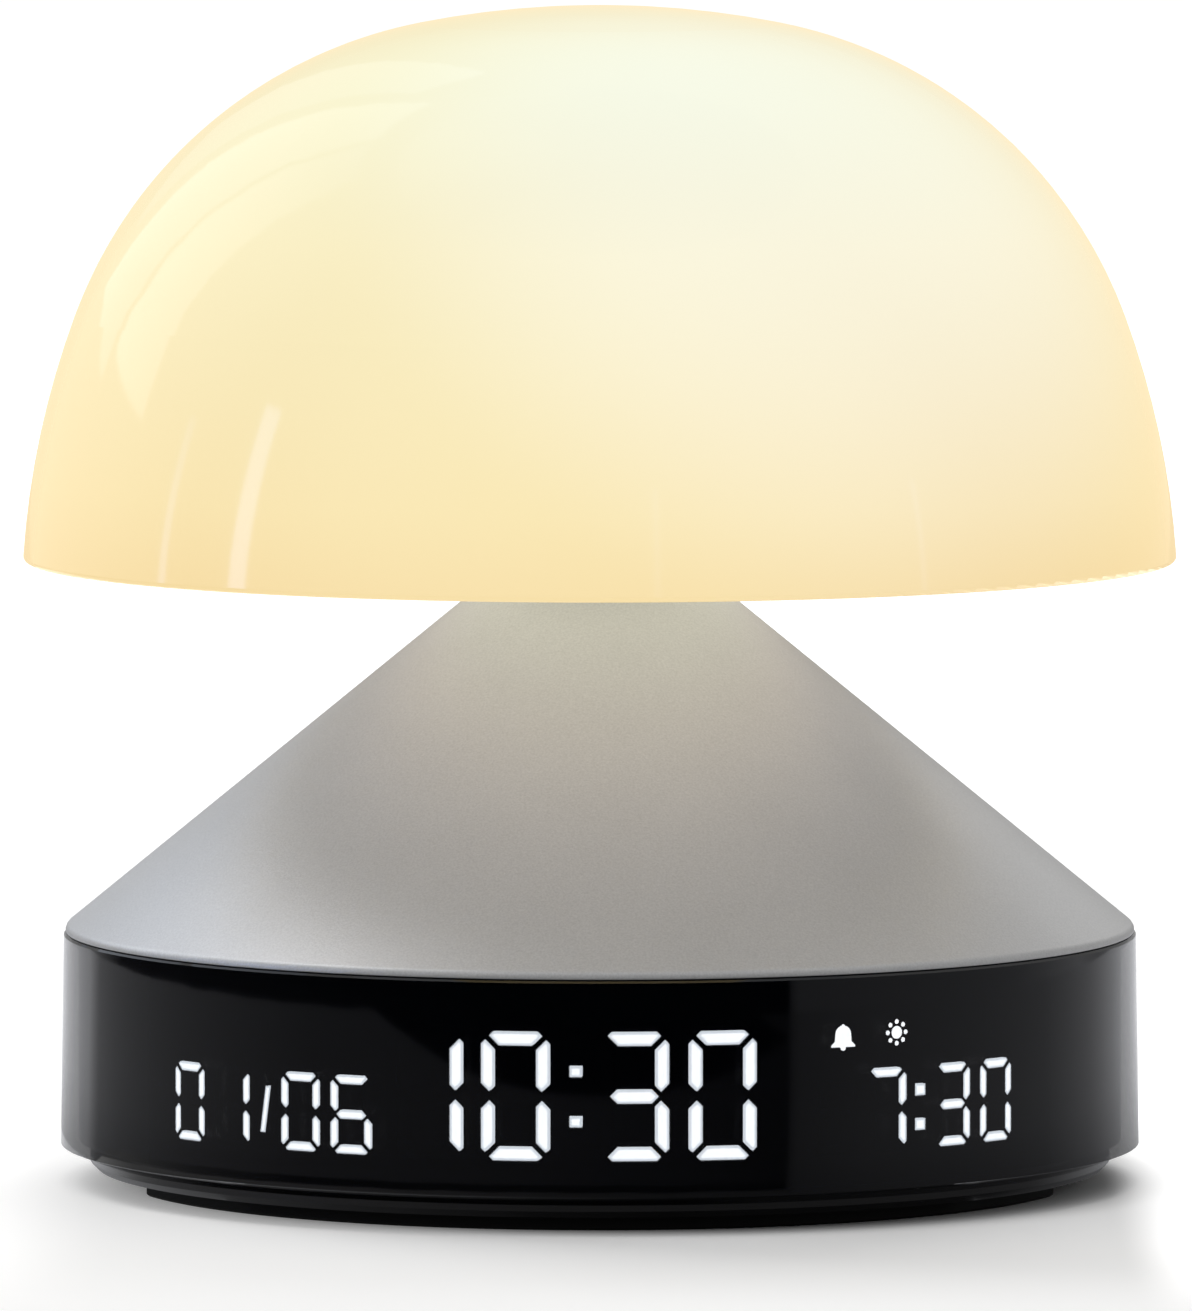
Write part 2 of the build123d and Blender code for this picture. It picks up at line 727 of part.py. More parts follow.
def digit(width, height, bar):
    """Seven bars of one digit, with mitred ends, centred on its middle."""
    right, top = width / 2, height / 2
    tip = tip_inset * bar
    corner = corner_inset * bar
    waist = waist_inset * bar
    slope = bar - tip
    flat = [
        (-right + corner, top - tip), (-right + corner + tip, top), (right - corner - tip, top),
        (right - corner, top - tip), (right - corner - slope, top - bar), (-right + corner + slope, top - bar),
    ]
    middle = middle_inset * bar
    upright = [
        (right - tip, top - corner), (right, top - corner - tip), (right, middle + waist),
        (right - waist, middle), (right - bar, middle + bar - waist), (right - bar, top - corner - slope),
    ]
    hub = right - hub_inset * bar
    bridge = [
        (-hub, 0), (-hub + bar / 2, bar / 2), (hub - bar / 2, bar / 2),
        (hub, 0), (hub - bar / 2, -bar / 2), (-hub + bar / 2, -bar / 2),
    ]
    with BuildSketch() as bars:
        Polygon(*bridge, align=None)
        for up in (-1, 1):
            Polygon(*[(across, up * rise) for across, rise in flat], align=None)
            for side in (-1, 1):
                Polygon(*[(side * across, up * rise) for across, rise in upright], align=None)
    return bars.sketch


def colon(dot, rise):
    """Two square dots, one above the other."""
    with BuildSketch() as dots:
        with Locations((0, rise), (0, -rise)):
            Rectangle(*dot)
    return dots.sketch


def slash():
    """Leaning bar between the day and the month."""
    half_width, half_height, shift = slash_width / 2, slash_height / 2, slash_lean / 2
    with BuildSketch() as bar:
        Polygon(
            (-shift - half_width, -half_height), (-shift + half_width, -half_height),
            (shift + half_width, half_height), (shift - half_width, half_height),
            align=None,
        )
    return bar.sketch


def bell():
    """Plain bell: a dome that flares to a brim, with a knob on top and a clapper below."""
    right = [Vector(across, rise) * bell_width / 2 for across, rise in bell_side]
    left = [Vector(-point.X, point.Y) for point in reversed(right)]
    knob_rise, knob_radius, clapper_drop, clapper_radius = [share * bell_width / 2 for share in bell_ends]
    with BuildSketch() as sign:
        with BuildLine():
            ThreePointArc(left[-1], (0, bell_crown * bell_width / 2), right[0])
            Polyline(*right, *left)
        make_face()
        with Locations((0, knob_rise)):
            Circle(knob_radius)
        with Locations((0, -clapper_drop)):
            Circle(clapper_radius)
    return sign.sketch


def sun():
    """Plain sun: a disc in a ring of dots."""
    with BuildSketch() as sign:
        Circle(sun_radius)
        with PolarLocations(ray_circle, ray_count):
            Circle(ray_radius)
    return sign.sketch


display_marks = {
    "time_segments": [(angle, time_shift, digit(*time_digit)) for angle in time_angles]
    + [(time_colon_angle, time_shift, colon(time_dot, time_colon_rise))],
    "date_segments": [(angle, date_shift, digit(*date_digit)) for angle in date_angles]
    + [(slash_angle, date_shift, slash())],
    "alarm_segments": [(angle, alarm_shift, digit(*alarm_digit)) for angle in alarm_angles]
    + [(alarm_colon_angle, alarm_shift, colon(alarm_dot, alarm_colon_rise))],
    "status_icons": [(bell_angle, bell_shift, bell()), (sun_angle, sun_shift, sun())],
}
all_marks = [mark for marks in display_marks.values() for mark in marks]
mask_start = -90 - display_half_angle
mask_end = -90 + display_half_angle

with BuildPart() as segment_mask:
    with BuildSketch(Plane.XY.offset(seat_z)):
        add(sector(mask_back, mask_face, mask_start, mask_end))
    extrude(amount=deck_z - seat_z)
    for rail_z in (seat_z, deck_z - mask_rail_height):
        with BuildSketch(Plane.XY.offset(rail_z)):
            add(sector(mask_back - mask_rail_width, mask_face, mask_start, mask_end))
        extrude(amount=mask_rail_height)
    for angle, shift, outline in all_marks:
        with BuildSketch(front_plane(angle, display_z + shift).offset(mask_back - cut_past)):
            add(outline)
            offset(amount=guide_clearance, kind=Kind.INTERSECTION)
        extrude(amount=mask_depth + 2 * cut_past, mode=Mode.SUBTRACT)
save(segment_mask, "segment_mask")

for node_name, marks in display_marks.items():
    with BuildPart() as light_guides:
        for angle, shift, outline in marks:
            with BuildSketch(front_plane(angle, display_z + shift).offset(mask_back - guide_recess)):
                add(outline)
            extrude(amount=mask_depth + cut_past)
        with BuildSketch(Plane.XY.offset(seat_z)):
            Circle(mask_face - guide_recess)
        extrude(amount=deck_z - seat_z, mode=Mode.INTERSECT)
    save(light_guides, node_name)

with BuildPart() as display_flex:
    with BuildSketch(Plane.XY.offset(seat_z + mask_rail_height + seat_clearance)):
        add(sector(flex_back, flex_face, mask_start + flex_end_room, mask_end - flex_end_room))
    extrude(amount=deck_z - seat_z - 2 * mask_rail_height - 2 * seat_clearance)
    with BuildSketch(Plane.XY.offset(board_top_z + ffc_connector[2] / 2)):
        with Locations((0, -(flex_back + board_radius) / 2 - flex_thickness / 4)):
            Rectangle(flex_tail_width, flex_back - board_radius + flex_thickness / 2)
    extrude(amount=flex_thickness)
save(display_flex, "display_flex")

with BuildPart() as display_leds:
    for angle, shift, outline in all_marks:
        with BuildSketch(front_plane(angle, display_z + shift).offset(flex_face)):
            with Locations(*[bar.center() for bar in outline.faces()]):
                Rectangle(display_led[1], display_led[1])
        extrude(amount=display_led[2])
save(display_leds, "display_leds")

# ---------------------------------------------------------------- main board
with BuildPart() as main_board:
    with BuildSketch(Plane.XY.offset(board_z)):
        Circle(board_radius)
        with Locations((0, board_rear_y)):
            Rectangle(2 * board_radius, board_radius, align=(Align.CENTER, Align.MIN), mode=Mode.SUBTRACT)
        with Locations(*post_points):
            Circle(post_radius + screw_play, mode=Mode.SUBTRACT)
        with Locations(*boss_points):
            Circle(m2_thread + screw_play, mode=Mode.SUBTRACT)
    extrude(amount=board_thickness)
save(main_board, "main_board")

board_screws = screws(
    boss_points, board_z, board_screw_length, m2_thread, m2_head, m2_head_height, down=False,
)
save(board_screws, "board_screws")

speaker_lead_x = speaker_radius - speaker_rim / 2

with BuildPart() as board_sockets:
    socket_places = {
        (0, 0): lamp_socket,
        (battery_lead_x, battery_lead_y): battery_socket,
        (-touch_lead_place, 0): touch_socket,
        (0, ffc_connector[1] / 2 - board_radius): ffc_connector,
    }
    for place, socket_size in socket_places.items():
        with Locations((*place, board_top_z)):
            Box(*socket_size, align=(Align.CENTER, Align.CENTER, Align.MIN))
    with Locations((speaker_lead_x, 0, board_z)):
        Box(*speaker_socket, align=(Align.CENTER, Align.CENTER, Align.MAX))
save(board_sockets, "board_sockets")

with BuildPart() as board_chips:
    for place, chip_size in chip_list:
        with Locations((*place, board_top_z)):
            Box(*chip_size, align=(Align.CENTER, Align.CENTER, Align.MIN))
    with BuildSketch(Plane.XY.offset(board_top_z)):
        with Locations(*capacitor_list):
            Circle(capacitor_radius)
    extrude(amount=capacitor_height)
save(board_chips, "board_chips")

# ---------------------------------------------------------------- battery, touch contact and leads
battery_middle_z = battery_z + battery_thickness / 2
battery_length = 2 * battery_half_length
battery_depth = battery_rear_y - battery_front_y

with BuildPart() as battery_tape:
    with Locations((0, battery_front_y, cone_z)):
        Box(battery_length, battery_depth, battery_pad, align=(Align.CENTER, Align.MIN, Align.MIN))
save(battery_tape, "battery_tape")

with BuildPart() as battery:
    with Locations((0, battery_front_y, battery_z)):
        Box(battery_length, battery_depth, battery_thickness, align=(Align.CENTER, Align.MIN, Align.MIN))
    fillet(battery.edges().filter_by(Axis.X), battery_edge_rounding)
save(battery, "battery")

with BuildPart() as battery_lead:
    with BuildLine(Plane.XZ.offset(-battery_lead_y)) as battery_route:
        FilletPolyline(
            (-battery_half_length, battery_middle_z),
            (battery_lead_x, battery_middle_z),
            (battery_lead_x, board_top_z + battery_socket[2]),
            radius=lead_bend_share * battery_lead_reach,
        )
    with BuildSketch(battery_route.line ^ 0):
        Circle(battery_lead_radius)
    sweep()
save(battery_lead, "battery_lead")

leaf_top_z = cone_z + touch_height
leaf_top_x = cone_inside(leaf_top_z) - touch_leaf

with BuildPart() as touch_contact:
    with BuildLine(Plane.XZ) as leaf_line:
        FilletPolyline(
            (touch_base[0] - touch_lead_place, cone_z + touch_leaf / 2),
            (-touch_base[1] - touch_lead_place, cone_z + touch_leaf / 2),
            (-leaf_top_x, leaf_top_z),
            (-leaf_top_x + touch_lip[0], leaf_top_z + touch_lip[1]),
            radius=touch_bend_radius,
        )
    with BuildSketch(leaf_line.line ^ 0):
        Rectangle(touch_leaf, touch_width)
    sweep()
save(touch_contact, "touch_contact")

with BuildPart() as touch_lead:
    with BuildSketch(Plane.XY.offset(board_top_z + touch_socket[2])):
        with Locations((-touch_lead_place, 0)):
            Circle(touch_lead_radius)
    extrude(amount=cone_z - board_top_z - touch_socket[2])
save(touch_lead, "touch_lead")

with BuildPart() as lamp_cable:
    with BuildSketch(Plane.XY.offset(board_top_z + lamp_socket[2])):
        Circle(lamp_cable_radius)
    extrude(amount=led_z - board_top_z - lamp_socket[2])
save(lamp_cable, "lamp_cable")

# ---------------------------------------------------------------- speaker
gasket_z = cover_inside_z + gasket_thickness
speaker_rim_z = gasket_z + speaker_rim_thickness
speaker_inner = speaker_radius - speaker_rim

with BuildPart() as speaker_gasket:
    with BuildSketch(Plane.XY.offset(cover_inside_z)):
        Circle(speaker_radius - seat_clearance)
        Circle(speaker_inner, mode=Mode.SUBTRACT)
        with Locations(*ear_points):
            Circle(speaker_ear_radius + seat_clearance, mode=Mode.SUBTRACT)
    extrude(amount=gasket_thickness)
save(speaker_gasket, "speaker_gasket")

with BuildPart() as speaker_frame:
    with BuildSketch(Plane.XY.offset(gasket_z)):
        Circle(speaker_radius)
        with Locations(*ear_points):
            Circle(speaker_ear_radius)
            Circle(m2_thread + screw_play, mode=Mode.SUBTRACT)
        Circle(speaker_inner, mode=Mode.SUBTRACT)
    extrude(amount=speaker_rim_thickness)
    with BuildSketch(Plane.XZ):
        Polygon(
            (speaker_inner + speaker_shell, speaker_rim_z),
            (speaker_back_radius, gasket_z + speaker_back_height),
            (0, gasket_z + speaker_back_height),
            (0, gasket_z + speaker_back_height - speaker_shell),
            (speaker_back_radius - speaker_shell, gasket_z + speaker_back_height - speaker_shell),
            (speaker_inner, speaker_rim_z),
            align=None,
        )
    revolve(axis=Axis.Z)
    with Locations((speaker_lead_x, 0, speaker_rim_z)):
        Box(speaker_rim / 2, speaker_rim, speaker_shell, align=(Align.CENTER, Align.CENTER, Align.MIN))
save(speaker_frame, "speaker_frame")

with BuildPart() as speaker_magnet:
    with BuildSketch(Plane.XY.offset(gasket_z + speaker_back_height)):
        Circle(magnet_radius)
    extrude(amount=magnet_height)
    chamfer(speaker_magnet.edges().group_by(Axis.Z)[-1], speaker_shell / 2)
save(speaker_magnet, "speaker_magnet")

diaphragm_edge = speaker_inner - seat_clearance
diaphragm_rise = speaker_back_height - diaphragm_gap

with BuildPart() as speaker_diaphragm:
    with BuildSketch(Plane.XZ):
        Polygon(
            (diaphragm_edge, gasket_z + diaphragm_thickness),
            (diaphragm_edge - speaker_rim / 2, gasket_z + diaphragm_thickness),
            (diaphragm_neck, gasket_z + diaphragm_rise),
            (0, gasket_z + diaphragm_rise),
            (0, gasket_z + diaphragm_rise - diaphragm_thickness),
            (diaphragm_neck, gasket_z + diaphragm_rise - diaphragm_thickness),
            (diaphragm_edge - speaker_rim / 2, gasket_z),
            (diaphragm_edge, gasket_z),
            align=None,
        )
    revolve(axis=Axis.Z)
save(speaker_diaphragm, "speaker_diaphragm")

speaker_screws = screws(
    ear_points, speaker_rim_z, speaker_screw_length, m2_thread, m2_head, m2_head_height,
)
save(speaker_screws, "speaker_screws")

with BuildPart() as speaker_lead:
    with BuildSketch(Plane.XY.offset(speaker_rim_z + speaker_shell)):
        with Locations((speaker_lead_x, 0)):
            Circle(speaker_lead_radius)
    extrude(amount=board_z - speaker_socket[2] - speaker_rim_z - speaker_shell)
save(speaker_lead, "speaker_lead")

# ---------------------------------------------------------------- rear panel, control board and socket


def window_block(growth):
    """The rear window's outline, grown or shrunk, run from the clock's axis out past its back."""
    with BuildPart() as block:
        with BuildSketch(rear_plane(0)):
            add(window)
            offset(amount=growth)
        extrude(amount=2 * base_radius)
    return block.part


def panel_shell(outer, growth):
    """The part of a round wall that lies in the rear window's outline."""
    with BuildPart() as shell:
        with BuildSketch(Plane.XY.offset(seat_z)):
            Circle(outer)
            Circle(panel_back, mode=Mode.SUBTRACT)
        extrude(amount=deck_z - seat_z)
        add(window_block(growth), mode=Mode.INTERSECT)
    return shell.part


panel_boss_points = [(side * panel_boss_place, usb_z) for side in (-1, 1)]
button_points = [(place, button_z) for place in button_places]

with BuildPart() as rear_panel:
    add(panel_shell(panel_face, -panel_play))
    add(panel_shell(band_inner - seat_clearance, panel_flange))
    with BuildSketch(rear_plane(sleeve_end)):
        with Locations(*button_points):
            Circle(sleeve_radius)
    extrude(until=Until.NEXT)
    with BuildSketch(rear_plane(control_front_y)):
        with Locations(*panel_boss_points):
            Circle(panel_boss_radius)
    extrude(until=Until.NEXT)
    with BuildSketch(rear_plane(control_front_y)):
        with Locations(*panel_boss_points):
            Circle(m2_thread + pilot_play)
    extrude(amount=panel_screw_length, mode=Mode.SUBTRACT)
    with BuildSketch(rear_plane(sleeve_end)):
        with Locations(*button_points):
            Circle(button_radius + running_clearance)
    extrude(amount=base_radius, mode=Mode.SUBTRACT)
    # Room for the buttons' flanges where the panel's wall curves in behind the sleeves
    with BuildSketch(rear_plane(sleeve_end)):
        with Locations(*button_points):
            Circle(button_flange_radius + flange_room)
    extrude(amount=panel_back - base_radius, mode=Mode.SUBTRACT)
    with BuildSketch(rear_plane(sleeve_end)):
        with Locations((0, usb_z)):
            SlotOverall(usb_width + 2 * panel_play, usb_height + 2 * panel_play)
    extrude(amount=base_radius, mode=Mode.SUBTRACT)
    with BuildSketch(rear_plane(panel_face - usb_relief[2])):
        with Locations((0, usb_z)):
            SlotOverall(usb_relief[0], usb_relief[1])
    extrude(amount=base_radius, mode=Mode.SUBTRACT)
save(rear_panel, "rear_panel")

with BuildPart() as control_board:
    with BuildSketch(rear_plane(control_back_y)):
        with Locations((0, (control_z + control_top_z) / 2)):
            Rectangle(control_board_width, control_top_z - control_z)
        with Locations(*panel_boss_points):
            Circle(m2_thread + screw_play, mode=Mode.SUBTRACT)
    extrude(amount=board_thickness)
save(control_board, "control_board")

panel_screws = screws(
    panel_boss_points, control_back_y, panel_screw_length, m2_thread, m2_head, m2_head_height,
    down=False, level=rear_plane,
)
save(panel_screws, "panel_screws")

with BuildPart() as switch_bodies:
    with BuildSketch(rear_plane(control_front_y)):
        with Locations(*button_points):
            RectangleRounded(switch_size, switch_size, switch_corner)
    extrude(amount=switch_height)
    with BuildSketch(rear_plane(switch_front_y)):
        with Locations(*button_points):
            Circle(plunger_radius + running_clearance)
    extrude(amount=-plunger_depth - button_travel - plunger_stop_room, mode=Mode.SUBTRACT)
save(switch_bodies, "switch_bodies")

usb_mouth_y = panel_face - usb_relief[2] - usb_relief_gap

with BuildPart() as usb_socket:
    with BuildSketch(rear_plane(control_front_y)):
        with Locations((0, usb_z)):
            SlotOverall(usb_width, usb_height)
    extrude(amount=usb_mouth_y - control_front_y)
    with BuildSketch(rear_plane(usb_mouth_y)):
        with Locations((0, usb_z)):
            SlotOverall(usb_width - 2 * usb_shell, usb_height - 2 * usb_shell)
    extrude(amount=-usb_depth, mode=Mode.SUBTRACT)
    with BuildSketch(rear_plane(usb_mouth_y - usb_depth)):
        with Locations((0, usb_z)):
            Rectangle(usb_tongue[0], usb_tongue[1])
    extrude(amount=usb_tongue[2])
save(usb_socket, "usb_socket")

header_z = board_top_z + header_block[2] / 2
header_start_y = board_rear_y - header_block[1]

with BuildPart() as control_header:
    with Locations((0, header_start_y + header_block[1] / 2, header_z)):
        Box(*header_block)
    with BuildSketch(rear_plane(board_rear_y)):
        with Locations((0, header_z)):
            with GridLocations(header_pitch, 1, header_pins, 1):
                Rectangle(header_pin, header_pin)
    extrude(amount=control_back_y - board_rear_y)
save(control_header, "control_header")

# ---------------------------------------------------------------- buttons and their plungers
for button_name, place in zip(button_names, button_places):
    with BuildPart() as button:
        with BuildSketch(rear_plane(button_back_y)):
            with Locations((place, button_z)):
                Circle(button_flange_radius)
        extrude(amount=button_flange_thickness)
        with BuildSketch(rear_plane(button_front_y)):
            with Locations((place, button_z)):
                Circle(button_radius)
        extrude(amount=base_radius)
        with BuildSketch(Plane.XY.offset(seat_z)):
            Circle(button_face)
        extrude(amount=deck_z - seat_z, mode=Mode.INTERSECT)
        fillet(button.edges().sort_by(Axis.Y)[-1], button_edge_rounding)
    save(button, f"{button_name}_button")
    with BuildPart() as plunger:
        with BuildSketch(rear_plane(button_back_y)):
            with Locations((place, button_z)):
                Circle(plunger_radius)
        extrude(amount=-plunger_proud - plunger_depth)
    save(plunger, f"{button_name}_plunger")
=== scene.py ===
"""Looks of the sunrise alarm clock: materials, display, key signs, studio and camera.

Metres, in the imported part's own frame: +Z up, the display faces -Y.
"""
from math import cos, pi, radians, sin, tan
import bmesh
import bpy
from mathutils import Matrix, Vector


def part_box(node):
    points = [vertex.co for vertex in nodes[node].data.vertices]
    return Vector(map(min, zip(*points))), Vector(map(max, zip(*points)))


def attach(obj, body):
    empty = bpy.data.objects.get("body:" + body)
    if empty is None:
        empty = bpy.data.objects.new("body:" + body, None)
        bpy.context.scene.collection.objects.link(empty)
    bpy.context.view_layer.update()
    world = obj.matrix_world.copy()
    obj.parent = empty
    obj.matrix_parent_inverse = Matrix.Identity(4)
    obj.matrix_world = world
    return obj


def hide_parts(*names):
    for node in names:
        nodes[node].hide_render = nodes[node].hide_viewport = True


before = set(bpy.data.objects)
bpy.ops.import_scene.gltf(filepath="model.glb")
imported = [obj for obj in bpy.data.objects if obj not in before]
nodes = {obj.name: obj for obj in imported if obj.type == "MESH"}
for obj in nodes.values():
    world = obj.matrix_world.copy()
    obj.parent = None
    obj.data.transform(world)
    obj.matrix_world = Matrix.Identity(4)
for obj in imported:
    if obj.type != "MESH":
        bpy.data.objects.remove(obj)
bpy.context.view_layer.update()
mm = 0.001

# ---------------------------------------------------------------- camera
# One camera fitted to the clock's outline in the photo
picture_width, picture_height = 1192, 1311
focal_pixels = 18977.3
sensor = 36.0
camera_place = (-0.41 * mm, -1997.3 * mm, 212.65 * mm)
camera_pitch = radians(4.498)

camera_data = bpy.data.cameras.new("camera")
camera_data.sensor_width = sensor
camera_data.sensor_fit = "AUTO"
camera_data.lens = focal_pixels * sensor / max(picture_width, picture_height)
camera_data.clip_start, camera_data.clip_end = 0.1, 20.0
camera = bpy.data.objects.new("camera", camera_data)
camera.location = camera_place
camera.rotation_euler = (pi / 2 - camera_pitch, 0, 0)
bpy.context.scene.collection.objects.link(camera)
bpy.context.scene.camera = camera
bpy.context.scene.view_settings.view_transform = "Standard"


# ---------------------------------------------------------------- node helpers
mix_factor, mix_low, mix_high, mix_result = 0, 6, 7, 2  # a Mix node's colour sockets, by number


class Tree:
    """Short names for making a material's or the world's nodes."""

    def __init__(self, owner):
        owner.use_nodes = True
        self.nodes = owner.node_tree.nodes
        self.links = owner.node_tree.links
        self.nodes.clear()

    def add(self, kind, inputs=None, **settings):
        """A node with its settings, and its inputs by name or number.

        An input is a value or another node's output.
        """
        node = self.nodes.new(kind)
        for name, value in settings.items():
            setattr(node, name, value)
        for name, value in (inputs or {}).items():
            if isinstance(value, bpy.types.NodeSocket):
                self.links.new(value, node.inputs[name])
            else:
                node.inputs[name].default_value = value
        return node

    def math(self, operation, *values):
        """A Math node's output."""
        return self.add("ShaderNodeMath", dict(enumerate(values)), operation=operation).outputs[0]

    def blend(self, kind, factor, low, high):
        """A colour with another one blended in, such as by ADD or MULTIPLY."""
        inputs = {mix_factor: factor, mix_low: low, mix_high: high}
        return self.add("ShaderNodeMix", inputs, data_type="RGBA", blend_type=kind).outputs[mix_result]

    def mix(self, factor, low, high):
        """A colour between two others."""
        return self.blend("MIX", factor, low, high)

    def ramp(self, factor, stops):
        """A colour ramp through (position, colour) stops."""
        node = self.add("ShaderNodeValToRGB", {"Fac": factor})
        band = node.color_ramp
        while len(band.elements) < len(stops):
            band.elements.new(0.5)
        for element, (position, colour) in zip(band.elements, stops):
            element.position = position
            element.color = colour
        return node.outputs["Color"]

    def place(self):
        """Object coordinates, in metres in the part's frame."""
        return self.add("ShaderNodeTexCoord").outputs["Object"]

    def noise(self, size, detail=2.0, roughness=0.5):
        """Noise whose largest blobs have a size in metres, from 0 to 1."""
        settings = {"Vector": self.place(), "Scale": 1 / size, "Detail": detail, "Roughness": roughness}
        return self.add("ShaderNodeTexNoise", settings).outputs["Fac"]

    def between(self, factor, low, high):
        """A number that goes from low to high as factor goes from 0 to 1."""
        return self.add("ShaderNodeMapRange", {"Value": factor, "To Min": low, "To Max": high}).outputs[0]


def rgb(red, green, blue):
    """An opaque colour."""
    return (red, green, blue, 1.0)


def grey(level):
    """An opaque grey."""
    return rgb(level, level, level)


def shade(colour, share):
    """A colour made lighter or darker."""
    return rgb(*[min(1.0, part * share) for part in colour[:3]])


blotch_grains = 40  # how many times as large as the grain the blotches are
blotch_detail = 3.0
fine_detail, fine_roughness = 4.0, 0.6


def finished(name, colour, roughness, grain, height, mottle=0.12, metallic=0.0, spread=0.06, speckle=0.0,
             **sockets):
    """Material whose colour, roughness and surface vary as a moulded, turned or coated piece's do.

    grain is the size of its texture and height how high that stands, both in metres. mottle is how much its
    colour varies in large blotches and speckle how much it does with the grain. spread is how much its
    roughness varies with the grain.
    """
    material = bpy.data.materials.new(name)
    tree = Tree(material)
    blotch = tree.noise(blotch_grains * grain, blotch_detail)
    fine = tree.noise(grain, fine_detail, fine_roughness)
    base = tree.mix(blotch, shade(colour, 1 - mottle), shade(colour, 1 + mottle))
    if speckle:
        dots = tree.mix(fine, grey(1 - speckle), grey(1 + speckle))
        base = tree.blend("MULTIPLY", 1.0, base, dots)
    bump = tree.add("ShaderNodeBump", {"Height": fine, "Distance": height, "Strength": 1.0})
    principled = tree.add("ShaderNodeBsdfPrincipled", {
        "Base Color": base,
        "Roughness": tree.between(fine, roughness - spread, roughness + spread),
        "Metallic": metallic,
        "Normal": bump.outputs["Normal"],
    })
    for socket, value in sockets.items():
        principled.inputs[socket.replace("_", " ")].default_value = value
    tree.add("ShaderNodeOutputMaterial", {"Surface": principled.outputs[0]})
    return material


# ---------------------------------------------------------------- materials
def opal_glow():
    """Glossy opal plastic lit from inside: paler at the crown, warmer towards the rim.

    It is palest in two patches: one to the right of the front and halfway up, which is painted bluish light
    from that side, and one at the front, low down. A patch is (turn from the front, rise, where it ends as
    a cosine, what it adds).
    """
    material = bpy.data.materials.new("opal_glow")
    tree = Tree(material)
    low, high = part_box("dome_shade")
    height = tree.add("ShaderNodeSeparateXYZ", {0: tree.place()}).outputs["Z"]
    rise = tree.add("ShaderNodeMapRange", {
        "Value": height, "From Min": low.z, "From Max": high.z,
    }).outputs[0]
    rim_glow, wall_glow = rgb(0.80, 0.60, 0.27), rgb(0.82, 0.66, 0.33)
    shoulder_glow, crown_glow = rgb(0.82, 0.74, 0.45), rgb(0.73, 0.76, 0.54)
    glow = tree.ramp(rise, [(0.0, rim_glow), (0.15, wall_glow), (0.6, shoulder_glow), (1.0, crown_glow)])
    outward = tree.add("ShaderNodeVectorMath", {0: tree.place(), 1: (0, 0, -low.z)}, operation="ADD")
    outward = tree.add("ShaderNodeVectorMath", {0: outward.outputs[0]}, operation="NORMALIZE").outputs[0]
    # Painted light: a bluish patch in the glow stands in for cool light falling on the dome from the right
    painted_cool_light_patch = (radians(35), radians(45), 0.6, rgb(0.02, 0.07, 0.19))
    front_patch = (0.0, 0.0, 0.7, rgb(0.03, 0.05, 0.05))
    for turn, up, edge, extra in (painted_cool_light_patch, front_patch):
        middle = (sin(turn) * cos(up), -cos(turn) * cos(up), sin(up))
        facing = tree.add("ShaderNodeVectorMath", {0: outward, 1: middle}, operation="DOT_PRODUCT")
        nearness = tree.add("ShaderNodeMapRange", {
            "Value": facing.outputs["Value"], "From Min": edge, "From Max": 1.0,
        }, interpolation_type="SMOOTHSTEP").outputs[0]
        glow = tree.blend("ADD", nearness, glow, extra)
    grazing_glow = rgb(0.68, 0.48, 0.18)
    mirrored = tree.add("ShaderNodeFresnel", {"IOR": 1.45}).outputs[0]
    glow = tree.mix(mirrored, glow, grazing_glow)
    principled = tree.add("ShaderNodeBsdfPrincipled", {
        "Base Color": tree.mix(tree.noise(30 * mm), rgb(0.20, 0.19, 0.16), rgb(0.22, 0.21, 0.18)),
        "Roughness": 0.07,
        "Emission Color": glow,
        "Emission Strength": 1.0,
    })
    tree.add("ShaderNodeOutputMaterial", {"Surface": principled.outputs[0]})
    return material


def smoked_lens():
    """Dark see-through plastic with a polished face."""
    material = bpy.data.materials.new("smoked_lens")
    tree = Tree(material)
    principled = tree.add("ShaderNodeBsdfPrincipled", {
        "Base Color": rgb(0.0008, 0.0011, 0.0024),
        "Roughness": tree.between(tree.noise(6 * mm), 0.02, 0.035),
        "Specular IOR Level": 0.62,
        "Alpha": 0.8,
    })
    tree.add("ShaderNodeOutputMaterial", {"Surface": principled.outputs[0]})
    return material


def lit_guide(name, low, high, strength):
    """Frosted light guide with its diode on. The smoked lens lets a 25th of its light through."""
    material = bpy.data.materials.new(name)
    tree = Tree(material)
    glow = tree.mix(tree.noise(0.6 * mm), low, high)
    principled = tree.add("ShaderNodeBsdfPrincipled", {
        "Base Color": rgb(0.6, 0.62, 0.65),
        "Roughness": 0.5,
        "Emission Color": glow,
        "Emission Strength": strength,
    })
    tree.add("ShaderNodeOutputMaterial", {"Surface": principled.outputs[0]})
    return material


